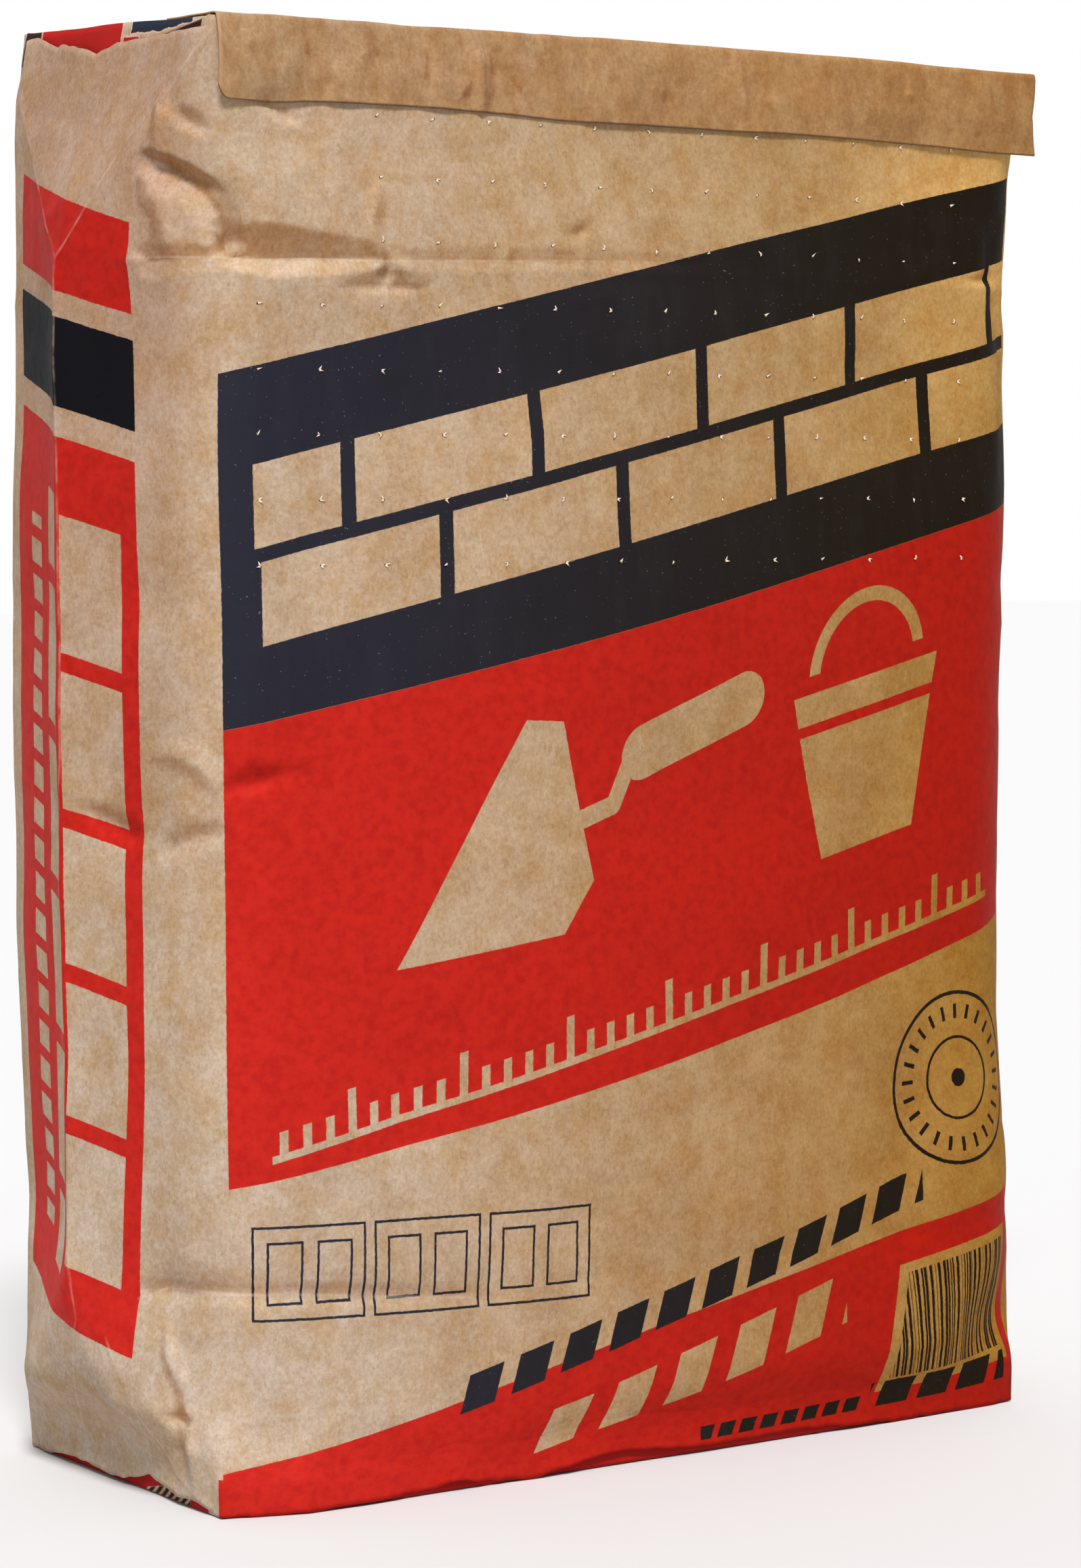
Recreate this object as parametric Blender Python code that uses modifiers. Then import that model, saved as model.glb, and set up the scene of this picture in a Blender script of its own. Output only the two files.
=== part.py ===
"""A filled cement sack that stands on its end, with a plain cover strip over its top front edge.

Metres, +Z up. The front face looks along -Y, and the origin is the middle of the base.
The sack is a flat paper tube with a folded block end at each end. Filled, it has a front and a
back panel that swell most over its lower half, and sides that come out to the tube's own creases.
Three-cornered facets run from the short edges of both ends to those creases. The top is drawn in
a little and rises towards the back.
"""

import bmesh
import bpy
from mathutils import Matrix, Vector

# Size of the sack between its corners
HEIGHT = 0.466
WIDTH = 0.326
DEPTH = 0.128
HALF_WIDTH = WIDTH / 2
HALF_DEPTH = DEPTH / 2

# Side creases, and how far the tips of their facets lie from the ends
CREASE_OUT = 0.0212
BASE_FACET = 0.064
TOP_FACET = 0.090

# Roundness of the filled paper: upright corners at left and right, front and back, then the ends' edges
CORNER_RADII = {(-1, -1): 0.018, (1, -1): 0.026, (-1, 1): 0.008, (1, 1): 0.018}
CORNER_RADIUS = max(CORNER_RADII.values())
END_RADIUS = 0.005

# Swell of the panels: how far at the base, how far at most, where that begins and where it ends
BASE_BULGE = 0.007
PANEL_BULGE = 0.0128
FULL_FROM = 0.100
FRONT_FULL_TO = 0.300
BACK_FULL_TO = 0.170
BULGE_END = 0.455
BULGE_SPREAD = 3

# Top: how far its long edges are drawn in, and its rise towards the back and in the middle
TOP_PINCH = 0.0035
PINCH_REACH = 0.065
TOP_RISE = 0.0023
TOP_DOME = 0.003
DOME_REACH = 0.020

# Cover strip glued over the top front edge
STRIP_DROP = 0.026
STRIP_TOP = 0.030
STRIP_OVERHANG = 0.010
STRIP_THICKNESS = 0.0005
GAP = 0.0003

# Spacing of the mesh
PANEL_STEP = 0.036
CREASE_STEP = 0.019
HEIGHT_STEP = 0.036
MERGE = 1e-6
SMOOTH_ANGLE = 0.6

KRAFT = (0.56, 0.40, 0.24, 1.0)
STRIP_KRAFT = (0.45, 0.29, 0.16, 1.0)


def clear_scene():
    for obj in list(bpy.data.objects):
        bpy.data.objects.remove(obj)


def paper_material(name, colour):
    material = bpy.data.materials.new(name)
    material.use_nodes = True
    shader = material.node_tree.nodes["Principled BSDF"]
    shader.inputs["Base Color"].default_value = colour
    shader.inputs["Roughness"].default_value = 0.8
    shader.inputs["Metallic"].default_value = 0.0
    return material


def stations(start, stop, step):
    """Evenly spaced places from start to stop, about one step apart."""
    count = max(1, round((stop - start) / step))
    return [start + (stop - start) * i / count for i in range(count + 1)]


def edge_stations(half, step):
    """Places across a panel: close together over its rounded corners, wider in the middle."""
    corner = [half - CORNER_RADIUS * share for share in (0.0, END_RADIUS / CORNER_RADIUS / 2)]
    corner += [half - CORNER_RADIUS * share for share in (END_RADIUS / CORNER_RADIUS, 0.5, 0.75, 1.0)]
    middle = stations(-(half - CORNER_RADIUS), half - CORNER_RADIUS, step)
    return sorted(set([-c for c in corner] + middle[1:-1] + corner))


def height_stations():
    """Places up the sack, with rows at the rounded ends, the strip's edge and the facets' tips."""
    low = [0.0, END_RADIUS / 2, END_RADIUS] + stations(END_RADIUS, BASE_FACET, HEIGHT_STEP / 2)[1:]
    middle = stations(BASE_FACET, HEIGHT - TOP_FACET, HEIGHT_STEP)[1:-1]
    high = stations(HEIGHT - TOP_FACET, HEIGHT - STRIP_DROP, HEIGHT_STEP / 2)
    high += [HEIGHT - END_RADIUS * 1.6, HEIGHT - END_RADIUS, HEIGHT - END_RADIUS / 2, HEIGHT]
    return low + middle + high


def sliced_box():
    """A box of the sack's size, cut into rows and columns at every station."""
    bm = bmesh.new()
    scale = Matrix.Diagonal((WIDTH, DEPTH, HEIGHT, 1.0))
    bmesh.ops.create_cube(bm, size=1.0, matrix=Matrix.Translation((0, 0, HEIGHT / 2)) @ scale)
    depth_places = edge_stations(HALF_DEPTH, CREASE_STEP) + [STRIP_TOP - HALF_DEPTH]
    places = (edge_stations(HALF_WIDTH, PANEL_STEP), sorted(set(depth_places)), height_stations())
    for axis, values in enumerate(places):
        normal = Vector((0.0, 0.0, 0.0))
        normal[axis] = 1.0
        for value in values[1:-1]:
            everything = bm.verts[:] + bm.edges[:] + bm.faces[:]
            bmesh.ops.bisect_plane(bm, geom=everything, dist=MERGE, plane_co=normal * value, plane_no=normal)
    return bm


def fade(share):
    """Runs smoothly from 0 to 1 as share does, and stays level outside."""
    share = min(1.0, max(0.0, share))
    return share * share * (3.0 - 2.0 * share)


def swell(height, full_to):
    """How far the middle of a panel stands out at a height."""
    risen = BASE_BULGE + (PANEL_BULGE - BASE_BULGE) * fade(height / FULL_FROM)
    return risen * (1.0 - fade((height - full_to) / (BULGE_END - full_to)))


def round_off(point, radii):
    """Pulls a point of the box in, so that edges and corners become arcs of these radii."""
    low = Vector((-HALF_WIDTH + radii[0], -HALF_DEPTH + radii[1], radii[2]))
    high = Vector((HALF_WIDTH - radii[0], HALF_DEPTH - radii[1], HEIGHT - radii[2]))
    core = Vector([min(max(point[i], low[i]), high[i]) for i in range(3)])
    reach = Vector([(point[i] - core[i]) / radii[i] for i in range(3)])
    if reach.length < MERGE:
        return core
    reach.normalize()
    return core + Vector([reach[i] * radii[i] for i in range(3)])


def settle(point):
    """Where a point of the plain box lies on the filled sack."""
    across = point.x / HALF_WIDTH
    along = abs(point.y) / HALF_DEPTH
    open_share = min(1.0, point.z / BASE_FACET, (HEIGHT - point.z) / TOP_FACET)
    corner = (-1 if point.x < 0 else 1, -1 if point.y < 0 else 1)
    radius = END_RADIUS + (CORNER_RADII[corner] - END_RADIUS) * fade(open_share)
    place = round_off(point, (radius, radius, END_RADIUS))

    on_side = fade((abs(across) - 0.5) * 2.0)
    crease = CREASE_OUT * min(1.0 - along, open_share) * on_side
    place.x += crease if across > 0 else -crease

    bulge = swell(point.z, FRONT_FULL_TO if point.y < 0 else BACK_FULL_TO)
    bulge *= 1.0 - abs(across) ** BULGE_SPREAD
    bulge -= TOP_PINCH * fade((point.z - HEIGHT + PINCH_REACH) / PINCH_REACH)
    place.y += bulge * point.y / HALF_DEPTH

    near_top = fade((point.z - HEIGHT + DOME_REACH) / DOME_REACH)
    dome = TOP_DOME * (1.0 - across**2) * (1.0 - along**2)
    place.z += near_top * (dome + TOP_RISE * point.y / HALF_DEPTH)
    return place


def add_object(name, bm, material, collection):
    mesh = bpy.data.meshes.new(name)
    bm.to_mesh(mesh)
    bm.free()
    mesh.materials.append(material)
    mesh.shade_smooth()
    mesh.set_sharp_from_angle(angle=SMOOTH_ANGLE)
    obj = bpy.data.objects.new(name, mesh)
    collection.objects.link(obj)
    return obj


def make_sack(collection):
    bm = sliced_box()
    for vert in bm.verts:
        vert.co = settle(vert.co)
    bm.normal_update()
    return add_object("paper_sack", bm, paper_material("kraft", KRAFT), collection)


def on_strip(face):
    """Whether a face of the box lies under the cover strip."""
    middle = face.calc_center_median()
    on_front = abs(middle.y + HALF_DEPTH) < MERGE and middle.z > HEIGHT - STRIP_DROP
    on_top = abs(middle.z - HEIGHT) < MERGE and middle.y < STRIP_TOP - HALF_DEPTH
    return on_front or on_top


def strip_place(point):
    """A point of the strip: it follows the panel, and runs on straight past the rounded corners."""
    straight = HALF_WIDTH - END_RADIUS
    held = point.copy()
    held.x = min(max(point.x, -straight), straight)
    place = settle(held)
    place.x = point.x
    if abs(point.x - HALF_WIDTH) < MERGE:
        place.x += STRIP_OVERHANG
    return place


def make_strip(collection):
    """The strip is a sheet that lies on the box's skin, thickened outwards."""
    bm = sliced_box()
    outside = [face for face in bm.faces if not on_strip(face)]
    bmesh.ops.delete(bm, geom=outside, context="FACES")
    for vert in bm.verts:
        vert.co = strip_place(vert.co)
    bm.normal_update()
    for vert in bm.verts:
        vert.co += vert.normal * GAP
    strip = add_object("cover_strip", bm, paper_material("strip_kraft", STRIP_KRAFT), collection)
    thick = strip.modifiers.new("thickness", "SOLIDIFY")
    thick.thickness = STRIP_THICKNESS
    thick.offset = 1.0
    thick.use_even_offset = True
    return strip


def main():
    clear_scene()
    collection = bpy.data.collections.new("cement_sack")
    bpy.context.scene.collection.children.link(collection)
    make_sack(collection)
    make_strip(collection)


main()
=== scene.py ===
"""Looks of a filled cement sack: simulated kraft paper, printed bands, end patches and cover strip."""
import math
from functools import partialmethod, reduce
from operator import and_

import bpy
import numpy as np
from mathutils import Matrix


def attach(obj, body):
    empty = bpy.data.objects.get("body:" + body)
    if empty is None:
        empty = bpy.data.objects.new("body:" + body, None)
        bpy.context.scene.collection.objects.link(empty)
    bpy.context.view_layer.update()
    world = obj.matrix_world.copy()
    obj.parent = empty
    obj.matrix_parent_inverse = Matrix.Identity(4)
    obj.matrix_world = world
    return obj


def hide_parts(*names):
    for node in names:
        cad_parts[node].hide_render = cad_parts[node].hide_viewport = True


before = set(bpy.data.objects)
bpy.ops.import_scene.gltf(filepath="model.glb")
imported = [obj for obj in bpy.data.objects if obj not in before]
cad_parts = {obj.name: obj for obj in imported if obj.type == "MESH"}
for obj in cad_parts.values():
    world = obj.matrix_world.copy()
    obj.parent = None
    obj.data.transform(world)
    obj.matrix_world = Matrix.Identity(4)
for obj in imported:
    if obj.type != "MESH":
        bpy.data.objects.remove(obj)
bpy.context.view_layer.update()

# Sack, in metres of paper: the flat tube is as far round as the filled box
WIDTH = 0.326
DEPTH = 0.128
PAPER_HEIGHT = 0.469
AROUND = 2 * (WIDTH + DEPTH)
HALF_WIDTH = WIDTH / 2
HALF_DEPTH = DEPTH / 2
RIDGE = HALF_WIDTH + HALF_DEPTH

# Heights of the tips of the three-cornered facets, and of the folds just inside the ends' edges
BASE_TIP = 0.070
TOP_TIP = PAPER_HEIGHT - 0.076
BASE_LIP = 0.007
TOP_LIP = PAPER_HEIGHT - 0.016

# Volume of the fill, how hard it presses, how its weight adds to that under a level near the top, how far the
# panels may stand out, and how much of its way the paper keeps from step to step
FILL = 0.0220
PRESSURE = 0.3
WEIGHT = 0.02
WEIGHTLESS = 0.35
PRESSED_DEPTH = 0.078
INERTIA = 0.9

# Sharpness of the base's edge against the top's, and how fast the paper under it goes flat
BASE_EDGE_SHARE = 0.6
BASE_PRESS = 0.5

# How far the paper's bend spreads round each upright corner, left and right, front and back, more than at its ends
CORNER_ARCS = {(-1, -1): 0.026, (1, -1): 0.044, (-1, 1): 0.004, (1, 1): 0.020}
END_ARC = 0.008

# Degrees that each corner turns through, less so many where the tube is open; bend of the panels and the top, for
# each metre; and how firmly the ends and their edges keep their shape
CORNER_TURN = 90
OPEN_TURN = 20
PANEL_BEND = 0.6
TOP_BEND = 4.0
END_FIRMNESS = 0.9
EDGE_FIRMNESS = 0.5

# Cells of the coarsest grid along x, y and z, and steps and stiffness of each level
CELLS = np.array([34, 13, 49])
LEVELS = ((600, 0.3), (500, 0.5), (240, 0.7))

# Less than any distance between two points
TINY = 1e-6

# Camera of the photograph
CAMERA_PLACE = (-0.879, -1.241, 0.308)
CAMERA_YAW = math.radians(35.39)
CAMERA_PITCH = math.radians(-3.34)
CAMERA_LENS = 102.86


# Paper grid

def lattice(cells):
    """Numbers the surface points of a box of cells, and gives their places on the unfilled box."""
    size = np.array([WIDTH, DEPTH, PAPER_HEIGHT])
    low = np.array([-HALF_WIDTH, -HALF_DEPTH, 0.0])
    places = [low[axis] + size[axis] * np.arange(cells[axis] + 1) / cells[axis] for axis in range(3)]
    return number_places(places)


def number_places(places):
    """The same for rows at any places along x, y and z."""
    number = -np.ones([len(row) for row in places], int)
    outside = np.zeros(number.shape, bool)
    outside[[0, -1], :, :] = True
    outside[:, [0, -1], :] = True
    outside[:, :, [0, -1]] = True
    number[outside] = np.arange(outside.sum())
    index = np.argwhere(outside).T
    return number, np.stack([row[at] for row, at in zip(places, index)], -1)


def panels(number):
    """Grids of the points of each panel, wound so that faces look outwards."""
    return {
        "front": number[:, 0, :],
        "right": number[-1, :, :],
        "back": number[::-1, -1, :],
        "left": number[0, ::-1, :],
        "top": number[:, :, -1],
        "base": number[:, ::-1, 0],
    }


def quads(grid, axis=-1):
    """The four corners of each cell, along an axis of their own."""
    return np.stack([grid[:-1, :-1], grid[1:, :-1], grid[1:, 1:], grid[:-1, 1:]], axis=axis)


def loops(number):
    """Closed rows of points round the box, one family for each axis."""
    def ring(plane):
        return np.concatenate([plane[:-1, 0], plane[-1, :-1], plane[:0:-1, -1], plane[0, :0:-1]])
    return {name: np.array([ring(plane) for plane in np.moveaxis(number, axis, 0)]) for axis, name in enumerate("xyz")}


def unroll(rest):
    """Paper coordinates, round the tube and up it, of points on the walls."""
    x, y, z = rest[..., 0], rest[..., 1], rest[..., 2]
    on_front = y < TINY - HALF_DEPTH
    on_left = (x < TINY - HALF_WIDTH) & ~on_front
    on_right = (x > HALF_WIDTH - TINY) & ~on_front
    places = [x, -HALF_WIDTH - (y + HALF_DEPTH), HALF_WIDTH + (y + HALF_DEPTH)]
    u = np.select([on_front, on_left, on_right], places, default=WIDTH + DEPTH - x)
    u = np.where(u > AROUND / 2, u - AROUND, u)
    return np.stack([u, z], axis=-1)


def opened_share(z):
    """How far the tube is open at a height: 0 at the folded ends, 1 between the tips of the facets."""
    return np.clip(np.minimum(z / BASE_TIP, (PAPER_HEIGHT - z) / (PAPER_HEIGHT - TOP_TIP)), 0, 1)


# Folds set in the paper: degrees, where a valley is negative, and their route in millimetres of paper

DENTS = (
    (-58, (
        (-190.5, 423), (-183.5, 421), (-172.5, 418.5), (-161, 414), (-157, 409.5), (-155, 403), (-156, 397),
    )),
    (26, ((-187.5, 420), (-188, 414), (-186.5, 410), (-182, 406), (-181, 400), (-178, 394), (-176, 391))),
    (24, ((-196, 393), (-188.5, 391.5), (-176, 390.5), (-167.5, 391.5), (-158, 395), (-156, 397))),
    (16, ((-167.5, 391), (-154, 390), (-137, 389))),
    (12, ((-187.5, 444), (-179, 436), (-168.5, 432.5), (-166, 428))),
    (14, ((-194, 391), (-198, 398), (-193, 410), (-190.5, 421))),
    (22, ((-234.5, 72), (-228, 63), (-218.5, 49), (-212, 42), (-208, 32), (-199.5, 24), (-187.5, 12), (-169.5, 1))),
    (12, ((-236.5, 50), (-245, 29), (-247.5, 18), (-243, 10), (-240, 4))),
    (-26, ((-181, 42), (-176, 36), (-174, 28), (-174.5, 10))),
    (20, ((-184.5, 55), (-181, 45), (-179, 32))),
    (-16, ((-152, 231), (-147, 227), (-141, 226))),
    (-10, ((-147, 227), (-146, 219))),
    (-14, ((-199.5, 217), (-187.5, 215.5))),
)
LOOSE_CREASES = 90

# Degrees of the sack's own creases: down the sides, at the sides' ends, along the facets, over their tips at the
# base and the top, and beside the ends' edges
RIDGE_FOLD = 50
END_FOLD = 4
FACET_FOLD = 18
TIP_FOLDS = (-14, 12)
BASE_LIP_FOLD = 30
TOP_LIP_FOLD = 12

# How far past the sides the folds over the tips run, and how far the lips' folds stay inside the corners
TIP_FOLD_REACH = 0.035
LIP_FOLD_INSET = 0.012


def main_folds():
    """Creases that the flat tube and its folded ends leave in the filled sack."""
    folds = []
    for side in (-1, 1):
        ridge = side * RIDGE
        folds.append(((ridge, BASE_TIP), (ridge, TOP_TIP), RIDGE_FOLD))
        folds.append(((ridge, 0.0), (ridge, BASE_TIP), END_FOLD))
        folds.append(((ridge, TOP_TIP), (ridge, PAPER_HEIGHT), END_FOLD))
        for corner in (HALF_WIDTH, HALF_WIDTH + DEPTH):
            folds.append(((side * corner, BASE_LIP), (ridge, BASE_TIP), FACET_FOLD))
            folds.append(((side * corner, TOP_LIP), (ridge, TOP_TIP), FACET_FOLD))
    reach = HALF_WIDTH + TIP_FOLD_REACH
    for height, degrees in zip((BASE_TIP, TOP_TIP), TIP_FOLDS):
        folds.append(((-reach, height), (reach, height), degrees))
    for start in (-HALF_WIDTH, HALF_WIDTH + DEPTH):
        ends = (start + LIP_FOLD_INSET, start + WIDTH - LIP_FOLD_INSET)
        folds.append(((ends[0], BASE_LIP), (ends[1], BASE_LIP), BASE_LIP_FOLD))
    folds.append(((-HALF_WIDTH, TOP_LIP), (HALF_WIDTH, TOP_LIP), TOP_LIP_FOLD))
    return folds


def dent_folds():
    """The dents and wrinkles of this sack, and faint loose creases all over it."""
    folds = []
    for degrees, route in DENTS:
        route = np.array(route) / 1000
        folds += [(start, end, degrees) for start, end in zip(route[:-1], route[1:])]
    random = np.random.default_rng(31)
    for _ in range(LOOSE_CREASES):
        from_end = random.beta(1.0, 1.8) * PAPER_HEIGHT / 2
        v = from_end if random.random() < 0.5 else PAPER_HEIGHT - from_end
        start = np.array([random.uniform(-AROUND / 2, AROUND / 2), v])
        angle = random.normal(0, 0.7) + random.integers(2) * math.pi / 2
        length = random.uniform(0.012, 0.045)
        end = start + length * np.array([math.cos(angle), math.sin(angle)])
        folds.append((start, end, random.choice((-1, 1)) * random.uniform(5, 14)))
    return folds


def fold_height(points, fold, cell, way):
    """How far a fold holds the middle of three points off the line between its neighbours."""
    start, end, degrees = fold
    along = np.subtract(end, start)
    length = np.linalg.norm(along)
    along = along / length
    across = np.array([-along[1], along[0]])
    away = points - np.array(start)
    away[..., 0] = (away[..., 0] + AROUND / 2) % AROUND - AROUND / 2
    near = np.clip(1 - np.abs(away @ across) / cell, 0, 1)
    run = away @ along
    inside = np.clip(run / cell + 0.5, 0, 1) * np.clip((length - run) / cell + 0.5, 0, 1)
    return math.radians(degrees) * cell / 2 * across[way] ** 2 * near * inside


def rest_bend(axis, rows, rest, cell, stiffness, folds):
    """Height and stiffness of the rest bend at each point of the rows of one family."""
    place = rest[rows]
    x, y, z = place[..., 0], place[..., 1], place[..., 2]
    on_top = z > PAPER_HEIGHT - TINY
    on_end = (z < TINY) | on_top
    on_side = np.abs(x) > HALF_WIDTH - TINY
    on_face = np.abs(y) > HALF_DEPTH - TINY
    edge = on_end & (on_side | on_face)
    height = np.zeros(rows.shape)
    firm = np.where(on_end, END_FIRMNESS, stiffness)
    curved = cell**2 / 2
    walls = ~on_end
    if axis == "z":
        opened = opened_share(z)
        turn = np.radians(CORNER_TURN - OPEN_TURN * opened)
        arc = 0 * x
        for (left_right, front_back), spread in CORNER_ARCS.items():
            here = (np.sign(x) == left_right) & (np.sign(y) == front_back)
            arc = np.where(here, np.maximum(END_ARC + spread * opened, cell), arc)
        arc = np.maximum(arc, cell)
        corner = (HALF_WIDTH - np.abs(x)) + (HALF_DEPTH - np.abs(y))
        height += turn / arc * curved * np.clip((arc / 2 - corner) / cell + 0.5, 0, 1)
        height += np.where(on_face & ~on_side, PANEL_BEND * opened * curved, 0)
    else:
        crossing = edge & (on_face if axis == "x" else on_side)
        height[crossing] = cell / math.sqrt(2)
        if axis == "x":
            height[crossing & ~on_top] *= BASE_EDGE_SHARE
        firm[crossing] = EDGE_FIRMNESS
        walls &= on_face & ~on_side if axis == "x" else on_side
        if axis == "x":
            height[on_top & ~edge] = TOP_BEND * curved
    points = unroll(place[walls])
    for fold in folds:
        height[walls] += fold_height(points, fold, cell, 0 if axis == "z" else 1)
    return height, firm


# Simulation of the paper, which hardly stretches and keeps its folds

def stretch_groups(number, rest):
    """Pairs of points and their distance on the flat paper, in groups that share no point."""
    groups = []
    for rows in loops(number).values():
        after = np.roll(rows, -1, axis=1)
        for start in (0, 1):
            groups.append((rows[:, start::2].ravel(), after[:, start::2].ravel()))
    grids = panels(number)
    for pair in (("front", "back"), ("left", "right"), ("top", "base")):
        for i in (0, 1):
            for j in (0, 1):
                cells = np.concatenate([quads(grids[name])[i::2, j::2].reshape(-1, 4) for name in pair])
                groups.append((cells[:, :2].ravel(), cells[:, 2:].ravel()))
    return [(a, b, np.linalg.norm(rest[a] - rest[b], axis=1)) for a, b in groups]


def bend_groups(number, rest, cell, stiffness, folds):
    """Points with their two neighbours and their rest bend, in groups that share no point."""
    groups = []
    for axis, rows in loops(number).items():
        before, after = np.roll(rows, 1, axis=1), np.roll(rows, -1, axis=1)
        height, firm = rest_bend(axis, rows, rest, cell, stiffness, folds)
        whole = rows.shape[1] - rows.shape[1] % 3
        picks = [np.arange(start, whole, 3) for start in (0, 1, 2)]
        picks += [np.array([place]) for place in range(whole, rows.shape[1])]
        for pick in picks:
            chosen = [table[:, pick].ravel() for table in (before, rows, after, height, firm)]
            groups.append((*chosen[:3], chosen[3][:, None], chosen[4][:, None] / 1.5))
    return groups


def normals_and_volume(x, grids):
    normal = np.zeros_like(x)
    volume = 0.0
    low, high = slice(-1), slice(1, None)
    for grid in grids.values():
        p = x[grid]
        area = np.cross(p[1:, 1:] - p[:-1, :-1], p[:-1, 1:] - p[1:, :-1]) / 2
        middle = (p[1:, 1:] + p[:-1, :-1] + p[:-1, 1:] + p[1:, :-1]) / 4
        volume += (area * middle).sum() / 3
        spread = np.zeros_like(p)
        for rows, columns in ((low, low), (high, low), (high, high), (low, high)):
            spread[rows, columns] += area
        normal[grid] += spread
    return normal / np.maximum(np.linalg.norm(normal, axis=1), 1e-12)[:, None], volume


def settle(x, number, rest, cell, steps, stiffness, folds):
    """Steps the paper until its length, its folds, the fill's volume and the floor agree."""
    grids = panels(number)
    stretch = stretch_groups(number, rest)
    bends = bend_groups(number, rest, cell, stiffness, folds)
    surface = 2 * (WIDTH * DEPTH + WIDTH * PAPER_HEIGHT + DEPTH * PAPER_HEIGHT)
    previous = x.copy()
    lip = BASE_LIP * (1 - (rest[:, 0] / HALF_WIDTH) ** 6) * (np.abs(rest[:, 1]) > HALF_DEPTH - TINY)
    pressed = rest[:, 2] <= np.maximum(lip, 0) + TINY
    for _ in range(steps):
        normal, volume = normals_and_volume(x, grids)
        depth = 1 - x[:, 2] / PAPER_HEIGHT
        push = (FILL - volume) / surface * PRESSURE + (depth - WEIGHTLESS) * WEIGHT * cell**2
        moved = x + (x - previous) * INERTIA + normal * push[:, None]
        previous, x = x, moved
        for a, b, length in stretch:
            xa, xb = x.take(a, 0), x.take(b, 0)
            d = xb - xa
            d *= (0.5 - 0.5 * length / np.sqrt(np.einsum("ij,ij->i", d, d)))[:, None]
            x[a] = xa + d
            x[b] = xb - d
        for a, c, b, height, firm in bends:
            xa, xc, xb = x.take(a, 0), x.take(c, 0), x.take(b, 0)
            d = (xc - (xa + xb) / 2 - height * normal.take(c, 0)) * firm
            x[c] = xc - d
            d /= 2
            x[a] = xa + d
            x[b] = xb + d
        x[pressed, 2] *= BASE_PRESS
        np.maximum(x[:, 2], 0.0, out=x[:, 2])
        np.clip(x[:, 1], -PRESSED_DEPTH, PRESSED_DEPTH, out=x[:, 1])
    return x


# Half depth of the footprint at places across it, both in millimetres
FOOTPRINT = (
    (-165, 64.6), (-157, 67.1), (-149, 69.6), (-139, 73.0), (-111, 72.8), (-53, 71.5), (37, 70.1), (97, 68.4),
    (155, 65.8), (165, 64.4),
)
FOOT_HALF_WIDTH = 0.1616
FOOT_SKEW = 0.024
FOOT_HEIGHT = 0.035

# Heights up the back left and the front right corner, and how far each stands further out there, in millimetres
BACK_LEFT = (
    (20, 0), (45, 0.6), (61, 1.5), (88, 2.1), (114, 2.6), (141, 3.2), (170, 4.0), (250, 4.5), (314, 3.5), (367, 2.1),
    (390, 1.2), (410, 0.9), (443, 1.1), (466, -1.5),
)
FRONT_RIGHT = (
    (0, -2.2), (8, -2.0), (22, -0.9), (36, 1.4), (51, 3.7), (65, 4.6), (79, 4.0), (93, 2.9), (108, 1.1), (122, 0.4),
    (136, -0.8), (150, -1.2), (164, -2.0), (178, -2.2), (193, -2.0), (235, -1.4), (264, -0.6), (306, -0.2), (320, 0.9),
    (335, 1.4), (363, 2.0), (377, 1.3), (391, 0.2), (406, 0.6), (434, 2.0), (455, 1.0), (466, 0),
)

# The same for the left side's crease, along x and then y
CREASE_OUT = (
    ((280, 0), (330, 1.5), (385, 4.8), (410, 3.6), (440, 1.6), (466, 0)),
    ((0, 0), (100, 0), (280, 0.5), (360, 2.5), (410, 2.0), (466, 0)),
)

# Which way the back left corner goes, and the ramps towards the back and the left over which that sets in; then the
# ramps to the right and the front for the front right corner
BACK_LEFT_WAY = (-0.83, 0.56)
BACK_LEFT_RAMPS = ((-0.005, 0.05), (0.09, 0.06))
FRONT_RIGHT_RAMPS = ((0.095, 0.055), (-0.045, 0.05))

# Ramps up the front panel, in metres: how far each takes it back, where it starts, and its length
FRONT_BACK = ((0.0070, 0.20, 0.10), (-0.0040, 0.367, 0.028), (-0.0030, 0.395, 0.06))

# Where the front stands out beside its corners, in metres: side, how far, ramps up the front that begin and end it,
# and the ramp across
FRONT_CORNERS = (
    (1, 0.0060, (0.30, 0.09), (0.425, 0.04), (0.07, 0.05)),
    (-1, 0.0025, (0.27, 0.07), (0.42, 0.04), (0.10, 0.04)),
)

# Ramp up to the top, its share that is drawn in from front and back, and its rise towards the back
TOP_RAMP = (0.395, 0.06)
TOP_PINCH = 0.045
TOP_RISE = 0.03


def smooth(share):
    """Runs smoothly from 0 to 1 as a share does, and stays level outside."""
    share = np.clip(share, 0, 1)
    return share * share * (3 - 2 * share)


def ramp(value, start, length):
    return smooth((value - start) / length)


def read_table(table, place):
    """What a table in millimetres gives at places, both in metres."""
    return np.interp(place, *np.array(table).T / 1000)


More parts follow.
